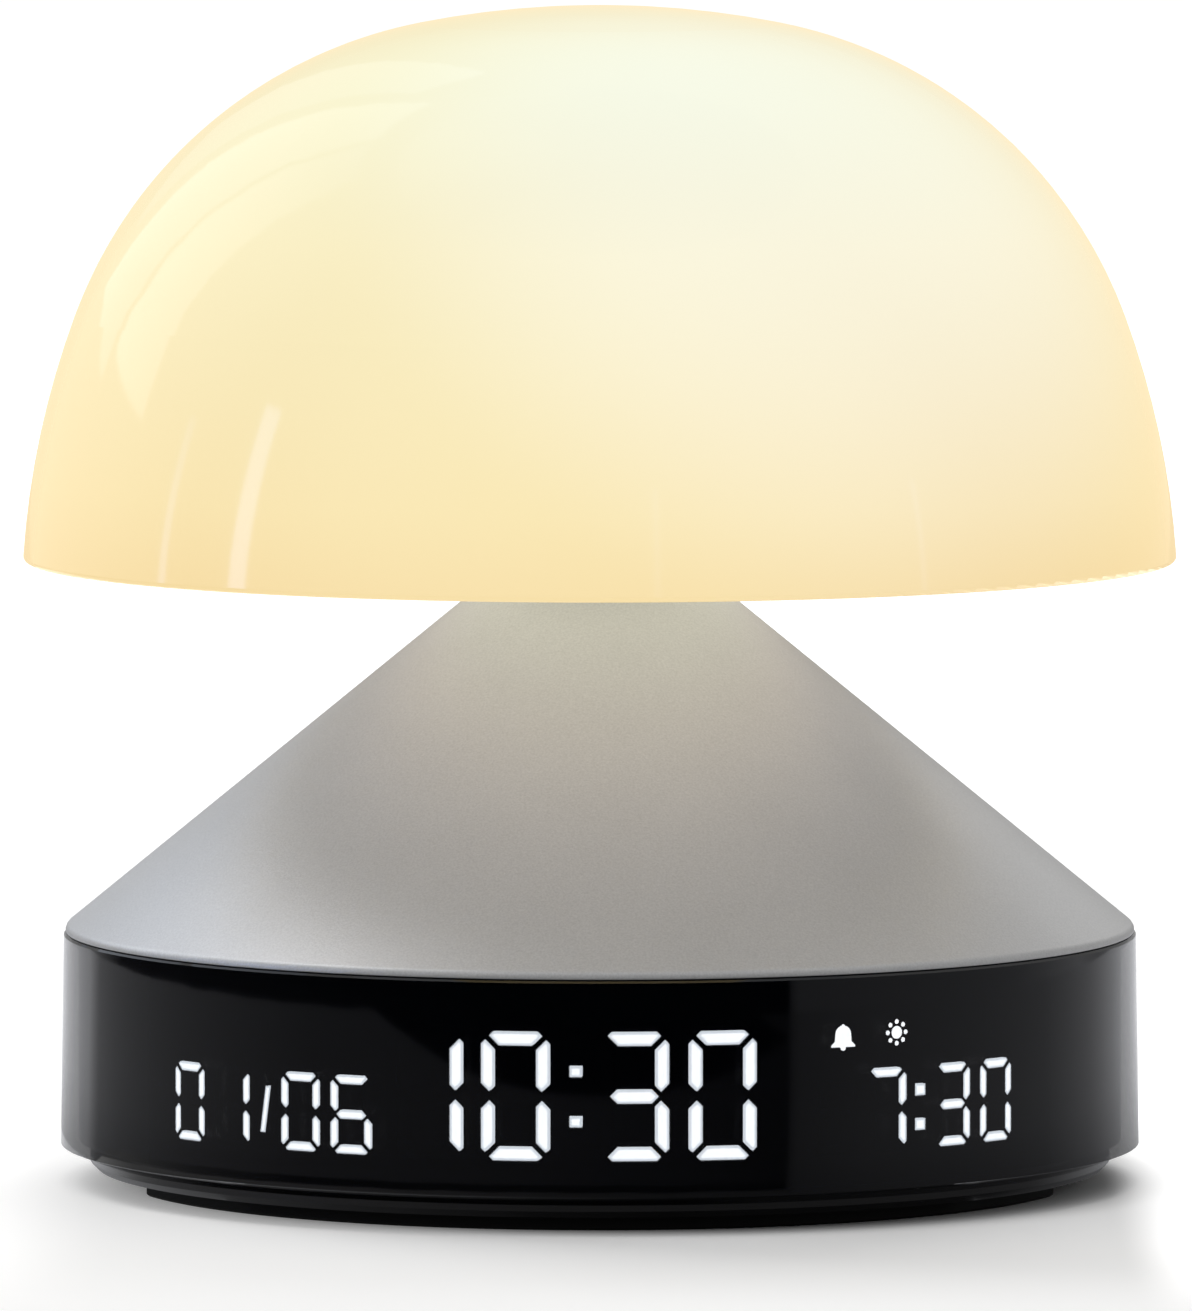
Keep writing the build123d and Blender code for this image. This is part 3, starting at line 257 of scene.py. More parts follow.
def underplate_glow():
    """Opal plate below the diodes: bright and warm round the neck, dimmer towards the rim."""
    material = bpy.data.materials.new("underplate_glow")
    tree = Tree(material)
    place = tree.add("ShaderNodeSeparateXYZ", {0: tree.place()})
    level = tree.add("ShaderNodeCombineXYZ", {0: place.outputs["X"], 1: place.outputs["Y"]})
    reach = tree.add("ShaderNodeVectorMath", {0: level.outputs[0]}, operation="LENGTH").outputs["Value"]
    rim_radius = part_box("shade_underplate")[1].x
    share = tree.math("DIVIDE", reach, rim_radius)
    glow = tree.ramp(share, [
        (0.22, rgb(0.76, 0.73, 0.57)), (0.36, rgb(0.64, 0.60, 0.48)), (0.48, rgb(0.58, 0.51, 0.42)),
        (0.70, rgb(0.36, 0.335, 0.32)), (0.88, rgb(0.15, 0.15, 0.16)), (1.0, rgb(0.11, 0.11, 0.12)),
    ])
    fine = tree.noise(0.4 * mm, fine_detail, fine_roughness)
    bump = tree.add("ShaderNodeBump", {"Height": fine, "Distance": 0.004 * mm})
    principled = tree.add("ShaderNodeBsdfPrincipled", {
        "Base Color": tree.mix(tree.noise(16 * mm), rgb(0.48, 0.47, 0.44), rgb(0.52, 0.51, 0.48)),
        "Roughness": tree.between(fine, 0.3, 0.4),
        "Normal": bump.outputs["Normal"],
        "Emission Color": glow,
        "Emission Strength": 1.0,
    })
    tree.add("ShaderNodeOutputMaterial", {"Surface": principled.outputs[0]})
    return material


def glowing(name, colour, strength, roughness):
    """Finished plastic that also has a warm glow of its own."""
    material = finished(name, colour, roughness, 0.4 * mm, 0.004 * mm)
    shader = next(node for node in material.node_tree.nodes if node.type == "BSDF_PRINCIPLED")
    shader.inputs["Emission Color"].default_value = rgb(1.0, 0.80, 0.48)
    shader.inputs["Emission Strength"].default_value = strength
    return material


cone_metal = finished("cone_metal", grey(0.655), 0.45, 0.24 * mm, 0.022 * mm, mottle=0.03, metallic=0.93,
                      spread=0.05, speckle=0.22)
panel_black = finished("panel_black", rgb(0.012, 0.012, 0.013), 0.42, 0.25 * mm, 0.006 * mm, 0.15)
cover_black = finished("cover_black", rgb(0.004, 0.004, 0.0045), 0.24, 0.25 * mm, 0.002 * mm, 0.15)
inner_black = finished("inner_black", rgb(0.008, 0.008, 0.009), 0.6, 0.4 * mm, 0.008 * mm)
mask_black = finished("mask_black", grey(0.001), 0.8, 0.4 * mm, 0.002 * mm)
foot_rubber = finished("foot_rubber", grey(0.003), 0.75, 0.18 * mm, 0.015 * mm, 0.2, Specular_IOR_Level=0.2)
key_rubber = finished("key_rubber", rgb(0.030, 0.030, 0.032), 0.62, 0.14 * mm, 0.010 * mm, 0.15)
steel = finished("steel", rgb(0.62, 0.61, 0.59), 0.28, 0.2 * mm, 0.004 * mm, 0.05, 1.0)
nickel = finished("nickel", rgb(0.72, 0.70, 0.66), 0.22, 0.2 * mm, 0.002 * mm, 0.05, 1.0)
brass = finished("brass", rgb(0.78, 0.60, 0.30), 0.25, 0.3 * mm, 0.003 * mm, 0.05, 1.0)
hub_metal = finished("hub_metal", grey(0.76), 0.35, 0.3 * mm, 0.005 * mm, 0.05, 1.0)
board_green = finished("board_green", rgb(0.015, 0.13, 0.05), 0.35, 0.5 * mm, 0.01 * mm, 0.2)
board_white = finished("board_white", rgb(0.80, 0.80, 0.77), 0.4, 0.5 * mm, 0.006 * mm, 0.05)
socket_cream = finished("socket_cream", rgb(0.75, 0.72, 0.62), 0.5, 0.3 * mm, 0.004 * mm)
chip_black = finished("chip_black", grey(0.02), 0.55, 0.15 * mm, 0.008 * mm)
flex_amber = finished("flex_amber", rgb(0.45, 0.22, 0.04), 0.35, 0.6 * mm, 0.004 * mm)
foam = finished("foam", grey(0.05), 0.9, 0.35 * mm, 0.06 * mm, 0.3)
cell_wrap = finished("cell_wrap", rgb(0.50, 0.52, 0.56), 0.3, 1.5 * mm, 0.05 * mm, 0.06, 0.6)
red_lead = finished("red_lead", rgb(0.45, 0.02, 0.015), 0.4, 0.5 * mm, 0.004 * mm)
black_lead = finished("black_lead", grey(0.02), 0.4, 0.5 * mm, 0.004 * mm)
magnet = finished("magnet", rgb(0.10, 0.10, 0.105), 0.45, 0.3 * mm, 0.01 * mm, 0.2)
paper = finished("paper", grey(0.025), 0.85, 0.25 * mm, 0.03 * mm, 0.3)
plunger_white = finished("plunger_white", rgb(0.75, 0.75, 0.71), 0.45, 0.3 * mm, 0.004 * mm)
diode = glowing("diode", rgb(0.80, 0.70, 0.35), 0.8, 0.3)
dark_guide = finished("dark_guide", rgb(0.05, 0.05, 0.052), 0.5, 0.3 * mm, 0.004 * mm)

key_names = ("alarm", "minus", "light", "plus", "sound")
finishes = {
    opal_glow(): ["dome_shade"],
    cone_metal: ["cone_shell", "neck_collar"],
    smoked_lens(): ["display_band"],
    cover_black: ["bottom_cover"],
    panel_black: ["rear_panel"],
    inner_black: ["chassis"],
    mask_black: ["segment_mask"],
    foot_rubber: ["foot_front", "foot_rear"],
    key_rubber: [f"{name}_button" for name in key_names],
    plunger_white: [f"{name}_plunger" for name in key_names],
    steel: ["base_screws", "board_screws", "lamp_screws", "led_board_screws", "panel_screws",
            "speaker_screws", "speaker_frame"],
    nickel: ["usb_socket"],
    brass: ["touch_contact"],
    hub_metal: ["lamp_hub"],
    board_green: ["main_board", "control_board"],
    board_white: ["led_board"],
    socket_cream: ["board_sockets"],
    chip_black: ["board_chips", "control_header", "switch_bodies"],
    flex_amber: ["display_flex"],
    foam: ["battery_tape", "speaker_gasket"],
    cell_wrap: ["battery"],
    red_lead: ["battery_lead"],
    black_lead: ["lamp_cable", "touch_lead", "speaker_lead"],
    magnet: ["speaker_magnet"],
    paper: ["speaker_diaphragm"],
    underplate_glow(): ["shade_underplate"],
    diode: ["led_emitters", "display_leds"],
}
for material, names in finishes.items():
    for name in names:
        for slot in nodes[name].material_slots:
            slot.material = material


# ---------------------------------------------------------------- display
def digit_bars(width, height, bar):
    """The seven bars of a digit, with mitred ends, by the letter each bar usually has."""
    right, top = width / 2, height / 2
    tip, corner, waist, middle = 0.30 * bar, 0.56 * bar, 0.59 * bar, 0.29 * bar
    slope = bar - tip
    end = right - corner
    flat = [
        (-end, top - tip), (-end + tip, top), (end - tip, top),
        (end, top - tip), (end - slope, top - bar), (-end + slope, top - bar),
    ]
    upright = [
        (right - tip, top - corner), (right, top - corner - tip), (right, middle + waist),
        (right - waist, middle), (right - bar, middle + bar - waist), (right - bar, top - corner - slope),
    ]
    hub = right - 0.72 * bar
    bridge = [
        (-hub, 0), (-hub + bar / 2, bar / 2), (hub - bar / 2, bar / 2),
        (hub, 0), (hub - bar / 2, -bar / 2), (-hub + bar / 2, -bar / 2),
    ]

    def turned(points, across, up):
        return [(across * x, up * y) for x, y in points]

    return {
        "a": turned(flat, 1, 1), "d": turned(flat, 1, -1), "g": bridge,
        "b": turned(upright, 1, 1), "c": turned(upright, 1, -1),
        "f": turned(upright, -1, 1), "e": turned(upright, -1, -1),
    }


bars_on = {"0": "abcdef", "1": "bc", "3": "abcdg", "6": "acdefg", "7": "abc", " ": ""}


def disc(radius, points=24, middle=(0, 0)):
    """Points round a circle."""
    x, y = middle
    turns = [2 * pi * step / points for step in range(points)]
    return [(x + radius * cos(turn), y + radius * sin(turn)) for turn in turns]


def inset(points, distance):
    """An outline with its edges moved inwards."""
    points = [Vector(point) for point in points]
    before, after = points[-1:] + points[:-1], points[1:] + points[:1]
    area = sum(here.x * following.y - following.x * here.y for here, following in zip(points, after))
    inward = 1 if area > 0 else -1
    moved = []
    for previous, here, following in zip(before, points, after):
        edges = (here - previous, following - here)
        first, second = [inward * Vector((-edge.y, edge.x)).normalized() for edge in edges]
        moved.append(tuple(here + (first + second) * distance / (1 + first.dot(second))))
    return moved


def curved_plates(name, outlines, depth, radius_front, body, material):
    """Plates on a round wall that faces outwards. An outline is (degrees from the front, level, points).

    An outline's level and points are in millimetres, and depth and radius_front in metres.
    """
    mesh = bpy.data.meshes.new(name)
    build = bmesh.new()
    for angle, level, points in outlines:
        turn = radians(angle)
        across = Vector((cos(turn), sin(turn), 0))
        outward = Vector((sin(turn), -cos(turn), 0))
        front, back = [], []
        for x, y in points:
            reach = (radius_front**2 - (x * mm) ** 2) ** 0.5
            foot = across * (x * mm) + Vector((0, 0, (level + y) * mm))
            front.append(build.verts.new(foot + outward * reach))
            back.append(build.verts.new(foot + outward * (reach - depth)))
        face = build.faces.new(front)
        if face.normal.dot(outward) < 0:
            face.normal_flip()
        build.faces.new(list(reversed(back)))
        count = len(points)
        for step in range(count):
            following = (step + 1) % count
            build.faces.new([front[step], back[step], back[following], front[following]])
    bmesh.ops.recalc_face_normals(build, faces=build.faces)
    build.to_mesh(mesh)
    build.free()
    mesh.materials.append(material)
    piece = bpy.data.objects.new(name, mesh)
    bpy.context.scene.collection.objects.link(piece)
    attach(piece, body)
    return piece


guide_front = 54.95 * mm  # radius of the light guides' faces
guide_depth = 2.0 * mm
bar_inset = 0.05  # from a bar's slot to the bar, in millimetres
core_proud, core_depth = 0.02 * mm, 0.1 * mm
lit = lit_guide("lit_guide", rgb(0.90, 0.95, 1.0), rgb(0.97, 0.98, 1.0), 26.0)
lit_rim = lit_guide("lit_rim", rgb(0.83, 0.90, 0.99), rgb(0.87, 0.93, 1.0), 17.5)


def shown(node, text, angles, level, digit, extra, rim):
    """Lit and unlit light guides of a group of digits, in place of the node that holds them all.

    digit is a digit's width, height and bar width. The lit guides are dimmer along their rims, which their
    diodes reach least. rim is how wide that is. All sizes are in millimetres, and angles in degrees.
    """
    on, off = [], []
    for letter, angle in zip(text, angles):
        for bar, points in digit_bars(*digit).items():
            (on if bar in bars_on[letter] else off).append((angle, level, points))
    on += extra
    whole = [(angle, height, inset(points, bar_inset)) for angle, height, points in on]
    cores = [(angle, height, inset(points, bar_inset + rim)) for angle, height, points in on]
    group = curved_plates(f"{node}_lit", whole, guide_depth, guide_front, "clock", lit_rim)
    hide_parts(node)
    curved_plates(f"{node}_core", cores, core_depth, guide_front + core_proud, "clock", lit)
    if off:
        curved_plates(f"{node}_unlit", off, guide_depth, guide_front, "clock", dark_guide)


def square(angle, level, width, height, shift=0.0):
    """Outline of a dot or bar, leaning by shift."""
    half, rise = width / 2, height / 2
    low = [(-half - shift / 2, -rise), (half - shift / 2, -rise)]
    high = [(half + shift / 2, rise), (-half + shift / 2, rise)]
    return (angle, level, low + high)


def bell_points(width):
    """Outlines of a plain bell's body, knob and clapper. Its numbers are shares of half its width."""
    half = width / 2
    side = [(0.66, 0.25), (0.70, -0.29), (1.0, -0.58), (1.0, -0.71)]
    arc = [(0.66 * cos(radians(turn)), 0.25 + 0.65 * sin(radians(turn))) for turn in range(0, 181, 12)]
    body = [(-x * half, y * half) for x, y in side[::-1]][:-1] + [(-x * half, y * half) for x, y in arc]
    body += [(x * half, y * half) for x, y in side[1:]]
    return body, disc(0.14 * half, 16, (0, 0.86 * half)), disc(0.22 * half, 16, (0, -0.76 * half))


def colon(angle, middle, dot, rise):
    """The two dots of a colon, a rise above and below its middle. dot is their width and height."""
    width, height = dot
    return [square(angle, middle + side * rise, width, height) for side in (-1, 1)]


time_level, time_digit, time_rim = 14.3, (7.25, 13.4, 1.5), 0.24
time_angles = (-18.63, -9.15, 3.72, 13.35)
time_colon_angle, time_dot, time_dot_rise = -2.61, (1.37, 1.2), 2.6
date_level, date_digit, date_rim = 11.8, (4.95, 8.2, 0.98), 0.19
date_angles, slash_angle = (-50.9, -43.9, -34.34, -27.9), -39.07
slash_width, slash_height, slash_shift = 0.73, 4.9, 0.75
alarm_level, alarm_digit, alarm_rim = 12.15, (5.0, 8.65, 1.02), 0.2
alarm_angles = (25.9, 32.66, 41.72, 48.45)
alarm_colon_angle, alarm_dot, alarm_dot_rise = 37.1, (1.38, 1.28), 1.8

time_colon = colon(time_colon_angle, time_level, time_dot, time_dot_rise)
slash = [square(slash_angle, date_level, slash_width, slash_height, slash_shift)]
alarm_colon = colon(alarm_colon_angle, alarm_level, alarm_dot, alarm_dot_rise)
shown("time_segments", "1030", time_angles, time_level, time_digit, time_colon, time_rim)
shown("date_segments", "0106", date_angles, date_level, date_digit, slash, date_rim)
shown("alarm_segments", " 730", alarm_angles, alarm_level, alarm_digit, alarm_colon, alarm_rim)


ray_ring, ray_count, ray_points = 1.12, 8, 12


def sun_outlines(middle, ray):
    """Outlines of a plain sun: a disc with dots round it. middle and ray are their radii."""
    return [disc(middle)] + [disc(ray, ray_points, point) for point in disc(ray_ring, ray_count)]


bell_angle, bell_level, bell_width = 27.18, 19.83, 2.76
sun_angle, sun_level, sun_radius, ray_radius = 33.93, 20.06, 0.65, 0.24
icons = [(bell_angle, bell_level, points) for points in bell_points(bell_width)]
icons += [(sun_angle, sun_level, points) for points in sun_outlines(sun_radius, ray_radius)]
signs = curved_plates("status_icons_lit", icons, guide_depth, guide_front, "clock", lit)
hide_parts("status_icons")


# ---------------------------------------------------------------- signs on the keys
key_face = 56.99 * mm  # how far the keys' faces are from the clock's axis
sign_proud = 0.05 * mm
sign_depth = 0.15 * mm
sign_ink = finished("sign_ink", rgb(0.50, 0.50, 0.49), 0.5, 0.14 * mm, 0.003 * mm, 0.06)


def bar_points(width, height):
    """Outline of an upright rectangle about the origin."""
    x, y = width / 2, height / 2
    return [(-x, -y), (x, -y), (x, y), (-x, y)]


def plus_points(width, bar):
    """Outline of a plus."""
    far, near = width / 2, bar / 2
    quarter = [(near, far), (near, near), (far, near)]
    points = []
    for turn in range(4):
        points += quarter
        quarter = [(y, -x) for x, y in quarter]
    return points


def wave_points(radius, width, reach, middle):
    """Outline of a drawn sound wave: an arc to the right of a point, up and down to reach in degrees."""
    steps = 8
    turns = [radians(-reach + 2 * reach * step / steps) for step in range(steps + 1)]
    outer, inner = radius + width / 2, radius - width / 2
    points = [(middle + outer * cos(turn), outer * sin(turn)) for turn in turns]
    return points + [(middle + inner * cos(turn), inner * sin(turn)) for turn in turns[::-1]]


speaker_points = [(-1.3, -0.38), (-0.85, -0.38), (-0.3, -0.9), (-0.3, 0.9), (-0.85, 0.38), (-1.3, 0.38)]
stroke, stroke_length = 0.42, 2.3
wave_width, wave_reach, wave_middle, wave_radii = 0.24, 42, -0.2, (0.65, 1.2)
waves = [wave_points(radius, wave_width, wave_reach, wave_middle) for radius in wave_radii]
key_bell_width, key_sun_radius, key_ray_radius = 2.7, 0.6, 0.2
key_signs = {
    "alarm": bell_points(key_bell_width),
    "minus": [bar_points(stroke_length, stroke)],
    "light": sun_outlines(key_sun_radius, key_ray_radius),
    "plus": [plus_points(stroke_length, stroke)],
    "sound": [speaker_points] + waves,
}
rear = 180  # degrees from the front
for name, drawing in key_signs.items():
    low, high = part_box(f"{name}_button")
    place, level = (low + high).x / 2 / mm, (low + high).z / 2 / mm
    outlines = [(rear, level, [(x - place, y) for x, y in points]) for points in drawing]
    sign_front = key_face + sign_proud
    curved_plates(f"{name}_sign", outlines, sign_depth, sign_front, f"{name}_key", sign_ink)


# ---------------------------------------------------------------- stage: floor and world
white = grey(1)


def staged(name, mesh, material):
    """An object that is no part of the clock."""
    mesh.materials.append(material)
    piece = bpy.data.objects.new(name, mesh)
    bpy.context.scene.collection.objects.link(piece)
    return piece


def flat_square(name, side):
    """Mesh of a level square about the origin."""
    half = side / 2
    mesh = bpy.data.meshes.new(name)
    corners = [(-half, -half, 0), (half, -half, 0), (half, half, 0), (-half, half, 0)]
    mesh.from_pydata(corners, [], [(0, 1, 2, 3)])
    return mesh


def sees_background(tree):
    """1 for rays of the camera, of gloss and of glass, and 0 for the rest."""
    path = tree.add("ShaderNodeLightPath")
    first = tree.math("MAXIMUM", path.outputs["Is Camera Ray"], path.outputs["Is Glossy Ray"])
    return tree.math("MAXIMUM", first, path.outputs["Is Transmission Ray"])


world_light = 0.42
floor_side = 12.0
floor_colour = grey(0.9)
floor_glow_near, floor_glow_far = 0.27, 0.66
floor_glow_start, floor_glow_end = 0.25, 1.6  # distances from the clock's axis
painted_shadow_middle, painted_shadow_start, painted_shadow_end = (0.006, -0.001, 0), 0.047, 0.058  # painted shadow below the clock: the floor's glow fades out there
painted_left_light, left_start, left_end = 0.15, -0.050, -0.066  # painted light: paler floor to the left of the clock, along X
# painted light: paler floor to the right of the clock, along X
painted_right_light, right_start, right_end = 0.45, 0.053, 0.0605
side_start, side_end = 0.06, 0.14  # where that fades to the front and the rear, along Y


def pale_floor():
    """Pale floor that the background rays see as white, and that keeps the clock's shadow. Its glow also
    holds a painted shadow below the clock and painted light beside it.
    """
    material = bpy.data.materials.new("floor")
    tree = Tree(material)
    distance = tree.add("ShaderNodeVectorMath", {0: tree.place()}, operation="LENGTH").outputs["Value"]
    glow = tree.add("ShaderNodeMapRange", {
        "Value": distance, "From Min": floor_glow_start, "From Max": floor_glow_end,
        "To Min": floor_glow_near, "To Max": floor_glow_far,
    }).outputs[0]
    place = tree.add("ShaderNodeSeparateXYZ", {0: tree.place()})
    # Painted light: the floor's glow is raised beside the clock, to its left and its right
    left = (left_start, left_end, painted_left_light)
    right = (right_start, right_end, painted_right_light)
    painted_beside_light = [tree.add("ShaderNodeMapRange", {
        "Value": place.outputs["X"], "From Min": first, "From Max": last, "To Min": 0.0, "To Max": most,
    }, interpolation_type="SMOOTHSTEP").outputs[0] for first, last, most in (left, right)]
    level = tree.add("ShaderNodeMapRange", {
        "Value": tree.math("ABSOLUTE", place.outputs["Y"]), "From Min": side_start, "From Max": side_end,
        "To Min": 1.0, "To Max": 0.0,
    }, interpolation_type="SMOOTHSTEP").outputs[0]
    # Painted shadow: the floor's glow is turned down in a patch below the clock
    apart = tree.add("ShaderNodeVectorMath", {0: tree.place(), 1: painted_shadow_middle}, operation="DISTANCE")
    clear = tree.add("ShaderNodeMapRange", {
        "Value": apart.outputs["Value"], "From Min": painted_shadow_start, "From Max": painted_shadow_end,
    }, interpolation_type="SMOOTHSTEP").outputs[0]
    nearby = tree.math("MULTIPLY", clear, floor_glow_near)
    nearby = tree.math("ADD", nearby, tree.math("MULTIPLY", level, tree.math("ADD", *painted_beside_light)))
    glow = tree.math("MAXIMUM", tree.math("MULTIPLY", glow, clear), nearby)
    strength = tree.math("MULTIPLY", sees_background(tree), glow)
    diffuse = tree.add("ShaderNodeBsdfDiffuse", {"Color": floor_colour})
    emission = tree.add("ShaderNodeEmission", {"Color": white, "Strength": strength})
    both = tree.add("ShaderNodeAddShader", {0: diffuse.outputs[0], 1: emission.outputs[0]})
    tree.add("ShaderNodeOutputMaterial", {"Surface": both.outputs[0]})
    return material


def pale_world():
    """Sky that the background rays see as white and that lights the clock at a plain level."""
    world = bpy.data.worlds.new("world")
    tree = Tree(world)
    strength = tree.between(sees_background(tree), world_light, 1.0)
    sky = tree.add("ShaderNodeBackground", {"Color": white, "Strength": strength})
    tree.add("ShaderNodeOutputWorld", {"Surface": sky.outputs[0]})
    return world


staged("floor", flat_square("floor", floor_side), pale_floor())
bpy.context.scene.world = pale_world()


# ---------------------------------------------------------------- stage: cards that gloss mirrors
plinth_front, plinth_right = 0.265, 0.2  # how far the plinth that the gloss mirrors reaches
even = ((0.0, 1.0), (1.0, 1.0))
all_round = ((-180, 1.0), (180, 1.0))


def card_light(name, angles, heights=even, base=0.0, extra=1.0, forward=0.0, side=0.0, level=False,
               colour=white):
    """Light of a card: base and a share of extra, which is a share by angle times a share by height.

    angles are (degrees from the front, share), seen from a point this far forward of the clock's axis.
    Behind that point they are seen from a point this far to the side. heights are (height, share). On a
    level card the heights are distances instead, and the light ends at the plinth's straight front, except
    further right than the plinth.
    """
    material = bpy.data.materials.new(name)
    material.cycles.emission_sampling = "NONE"
    tree = Tree(material)
    place = tree.add("ShaderNodeSeparateXYZ", {0: tree.place()})
    ahead = tree.math("SUBTRACT", -forward, place.outputs["Y"])
    across = tree.math("ABSOLUTE", place.outputs["X"])
    behind = tree.math("LESS_THAN", ahead, 0.0)
    across = tree.math("SUBTRACT", across, tree.math("MULTIPLY", side, behind))
    turn = tree.math("ARCTAN2", tree.math("MAXIMUM", across, 0.0), ahead)
    turn = tree.math("MULTIPLY", turn, tree.math("SIGN", place.outputs["X"]))
    part = tree.add("ShaderNodeMapRange", {"Value": turn, "From Min": -pi, "From Max": pi}).outputs[0]
    around = tree.ramp(part, [((angle + 180) / 360, grey(share)) for angle, share in angles])
    top = heights[-1][0]
    rise = place.outputs["Z"]
    if level:
        rise = tree.add("ShaderNodeVectorMath", {0: tree.place()}, operation="LENGTH").outputs["Value"]
        behind_front = tree.math("GREATER_THAN", place.outputs["Y"], -plinth_front)
        right_of_plinth = tree.math("GREATER_THAN", place.outputs["X"], plinth_right)
        extra = tree.math("MULTIPLY", tree.math("MAXIMUM", behind_front, right_of_plinth), extra)
    rise = tree.math("DIVIDE", rise, top)
    upward = tree.ramp(rise, [(height / top, grey(share)) for height, share in heights])
    strength = tree.math("MULTIPLY_ADD", tree.math("MULTIPLY", around, upward), extra, base)
    emission = tree.add("ShaderNodeEmission", {"Color": colour, "Strength": strength})
    tree.add("ShaderNodeOutputMaterial", {"Surface": emission.outputs[0]})
    return material


card_step = 3  # degrees


def card(name, rings, material, turns=(-180, 180), lean=0.0):
    """Card round the clock that shows only in gloss. A ring is (radius, height, how far forward).

    lean is how many degrees the last ring is turned past the first.
    """
    first, last = turns
    steps = max(1, round((last - first) / card_step))
    mesh = bpy.data.meshes.new(name)
    build = bmesh.new()
    columns = []
    for step in range(steps + 1):
        column = []
        for number, (radius, height, ahead) in enumerate(rings):
            turn = radians(first + (last - first) * step / steps + lean * number / (len(rings) - 1))
            column.append(build.verts.new((radius * sin(turn), -radius * cos(turn) - ahead, height)))
        columns.append(column)
    for left, right in zip(columns, columns[1:]):
        for ring in range(len(rings) - 1):
            build.faces.new([left[ring], right[ring], right[ring + 1], left[ring + 1]])
    build.to_mesh(mesh)
    build.free()
    piece = staged(name, mesh, material)
    piece.visible_camera = False
    piece.visible_diffuse = False
    piece.visible_transmission = False
    piece.visible_volume_scatter = False
    piece.visible_shadow = False


lift = 0.2 * mm  # of the level cards over the floor
foot_edge, base_edge, near_edge, far_edge = 51 * mm, 55.5 * mm, 60 * mm, 80 * mm
mirror_forward, mirror_side = 35 * mm, 40 * mm  # where the rays that the round band mirrors seem to start
plinth_radius = 0.355
wall_radius = 1.5
floor_card_colour, floor_card_strength = rgb(0.95, 0.96, 1.0), 1.02
floor_cards = {  # inner radius and how far forward, outer radius and how far forward, heights, angles
    "foot_card": (foot_edge, 0, base_edge, 0, even, [
        (-180, 0.5), (-130, 0.3), (-67, 0.12), (-20, 0.04), (20, 0.02), (135, 0.02), (180, 0.3),
    ]),
    "edge_card": (base_edge, 0, near_edge, 0, even, [
        (-180, 0.5), (-130, 0.2), (-100, 0.03), (25, 0.02), (45, 0.2), (130, 0.2), (180, 0.5),
    ]),
    "near_card": (near_edge, 0, far_edge, 0, even, [
        (-180, 0.95), (-145, 0.95), (-135, 0.4), (-67, 0.3), (-20, 0.19), (45, 0.11),
        (120, 0.14), (140, 0.4), (180, 0.6),
    ]),
    "plinth_card": (far_edge, 0, plinth_radius, mirror_forward, [
        (0.07, 0.55), (0.11, 0.75), (0.15, 0.92), (0.2, 1.0),
    ], [
        (-180, 1.0), (-142, 0.9), (-136, 0.4), (-90, 0.25), (-65, 0.15), (0, 0.07),
        (41.5, 0.03), (42.5, 0.15), (60, 0.22), (110, 0.33), (130, 0.5), (150, 0.85), (180, 1.0),
    ]),
    "ground_card": (plinth_radius, mirror_forward, wall_radius, 0, even, [
        (-180, 0.3), (-137, 0.3), (-125, 0.02), (-37, 0.0),
        (41.5, 0.0), (42.5, 0.2), (100, 0.3), (125, 0.5), (135, 0.3), (180, 0.3),
    ]),
}
left_inner, ring_inner, ring_outer = 70 * mm, 93.5 * mm, 104.5 * mm
ring_lift, ring_ahead, ring_turns = 1.5 * lift, 21 * mm, (-110, 36)
ring_cards = {  # inner radius, outer radius, angles
    "left_card": (left_inner, ring_inner, [
        (-180, 0.9), (-140, 0.8), (-120, 0.40), (-67, 0.26), (0, 0.10), (180, 0.1),
    ]),
    "ring_card": (ring_inner, ring_outer, [
        (-180, 0.3), (-120, 0.25), (-90, 0.10), (-67, 0.02), (180, 0.0),
    ]),
}
for name, (inner, outer, angles) in ring_cards.items():
    light = card_light(name, angles, forward=mirror_forward, side=mirror_side, level=True)
    card(name, [(inner, ring_lift, ring_ahead), (outer, ring_lift, ring_ahead)], light, ring_turns)
for name, (inner, inner_ahead, outer, outer_ahead, heights, angles) in floor_cards.items():
    light = card_light(name, angles, heights, extra=floor_card_strength, forward=mirror_forward,
                       side=mirror_side, level=True, colour=floor_card_colour)
    card(name, [(inner, lift, inner_ahead), (outer, lift, outer_ahead)], light)

wall_height, shoulder_height, ceiling_edge_height, ceiling_height = 1.1, 1.6, 2.0, 2.36
shoulder_radius, ceiling_radius, ceiling_hole = 0.93 * wall_radius, 0.7 * wall_radius, 0.02
wall_rings = [
    (wall_radius, 0, 0), (wall_radius, wall_height, 0),
    (shoulder_radius, shoulder_height, 0), (ceiling_radius, ceiling_edge_height, 0),
]
wall_angles = [
    (-180, 1.0), (-160, 1.0), (-152, 0.85), (-115, 0.7), (-40, 0.9), (40, 0.95),
    (95, 0.85), (130, 0.85), (155, 0.95), (180, 1.0),
]
wall_heights = [
    (0.0, 0.6), (0.2, 0.65), (0.50, 0.72), (0.8, 0.68),
    (wall_height, 0.6), (shoulder_height, 0.5), (ceiling_edge_height, 0.4),
]
ceiling_rings = [(ceiling_radius, ceiling_edge_height, 0), (ceiling_hole, ceiling_height, 0)]
ceiling_angles = [
    (-180, 0.0), (-150, 0.4), (-125, 1.0), (-100, 1.0), (-60, 0.2), (0, 0.0), (180, 0.0),
]
ceiling_heights = [(0.0, 1.0), (2.05, 1.0), (ceiling_height, 0.0)]
ceiling_colour = rgb(0.93, 0.96, 1.0)
# The wall is white where its shares are 0 and darker where they are more
card("wall_card", wall_rings, card_light("wall_card", wall_angles, wall_heights, base=1.0, extra=-1.0))
card("ceiling_card", ceiling_rings, card_light(
    "ceiling_card", ceiling_angles, ceiling_heights, base=0.58, extra=0.3, colour=ceiling_colour,
))

strip_radius = 1.2
dome_middle_height = 0.08  # roughly where the strips' heights are seen from


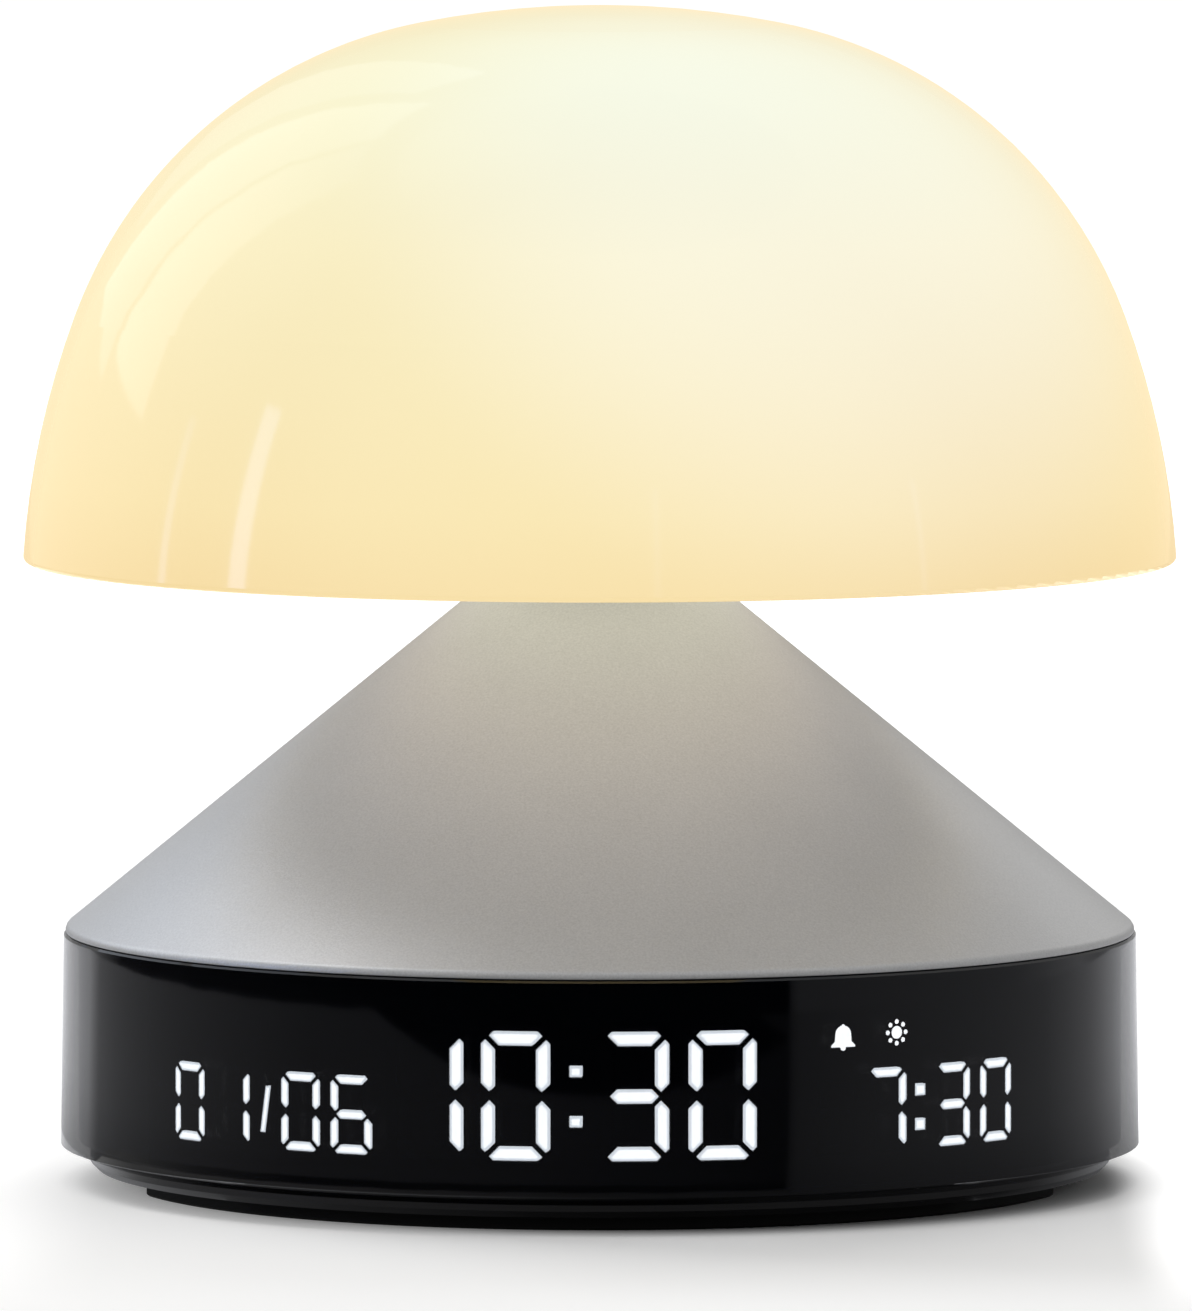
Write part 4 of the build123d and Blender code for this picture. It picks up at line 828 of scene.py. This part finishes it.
def strip(name, angles, heights, levels, colour, lean=0.0):
    """Upright card that glows between two angles and two heights, both in degrees as the clock sees them.

    levels are its strengths at its lower and upper end.
    """
    edges = [dome_middle_height + strip_radius * tan(radians(edge)) for edge in heights]
    low, high = levels
    shares = [(edges[0], low / high), (edges[1], 1.0)]
    if low > high:
        shares = [(edges[0], 1.0), (edges[1], high / low)]
    material = card_light(name, all_round, shares, extra=max(levels), colour=colour)
    card(name, [(strip_radius, edge, 0) for edge in edges], material, angles, lean)


daylight = rgb(0.84, 0.90, 1.0)
cool_light = rgb(0.4, 0.55, 1.0)
strip("lamp_stand", (-77.6, -73.4), (0.0, 21.0), (4.8, 3.4), cool_light, 1.8)
strip("lamp_stand_far", (-96.6, -94.6), (0.0, 15.8), (3.2, 1.3), cool_light, 1.2)
strip("window_edge", (65.6, 66.5), (2.0, 14.0), (1.8, 1.8), cool_light)
strip("door_edge", (10.6, 11.5), (4.0, 17.0), (1.6, 1.6), cool_light)
strip("softbox_near", (-129.5, -110.5), (12.0, 58.0), (1.4, 0.85), daylight)
strip("softbox_far", (-150.0, -131.5), (9.5, 58.0), (0.9, 1.2), daylight)
strip("back_window", (-166.0, -154.0), (12.0, 50.0), (0.45, 0.9), daylight)


# ---------------------------------------------------------------- stage: lamps
def area_lamp(name, place, aim, size, radiance, colour=(1, 1, 1), only=()):
    """A rectangular lamp that looks at a point. Its power goes by its radiance and its size.

    The cards are what gloss mirrors, and not the lamp, unless it is a lamp for only some of the nodes.
    """
    data = bpy.data.lights.new(name, "AREA")
    data.shape = "RECTANGLE"
    data.size, data.size_y = size
    data.energy = radiance * pi * size[0] * size[1]
    data.color = colour
    lamp = bpy.data.objects.new(name, data)
    lamp.location = place
    lamp.rotation_euler = (Vector(aim) - Vector(place)).to_track_quat("-Z", "Y").to_euler()
    lamp.visible_glossy = bool(only)
    bpy.context.scene.collection.objects.link(lamp)
    if only:
        receivers = bpy.data.collections.new(f"{name}_receivers")
        for node in only:
            receivers.objects.link(nodes[node])
        lamp.light_linking.receiver_collection = receivers


area_lamp("softbox", (-0.82, 0.70, 1.1), (0, 0, 0.5), (0.7, 1.2), 3.6)
area_lamp("overhead", (0.2, 1.0, 1.3), (0, 0, 0.1), (1.0, 1.0), 2.2)
cone_pieces = ("cone_shell", "neck_collar")
cone_aim = (0, 0, 0.03)
for name, place, size, radiance, colour in (
    ("cone_fill_left", (-0.88, 0.55, 0.63), (0.6, 0.4), 0.45, (1, 0.99, 0.98)),
    ("cone_fill_high", (-0.59, 0.10, 1.07), (0.5, 0.5), 1.75, (0.95, 0.96, 1)),
    ("cone_edge_left", (-0.34, 1.11, 0.32), (0.3, 0.4), 0.35, (1, 1, 1)),
    ("cone_edge_right", (0.51, 0.97, 0.49), (0.5, 0.5), 0.52, (1, 1, 1)),
):
    area_lamp(name, place, cone_aim, size, radiance, colour, cone_pieces)
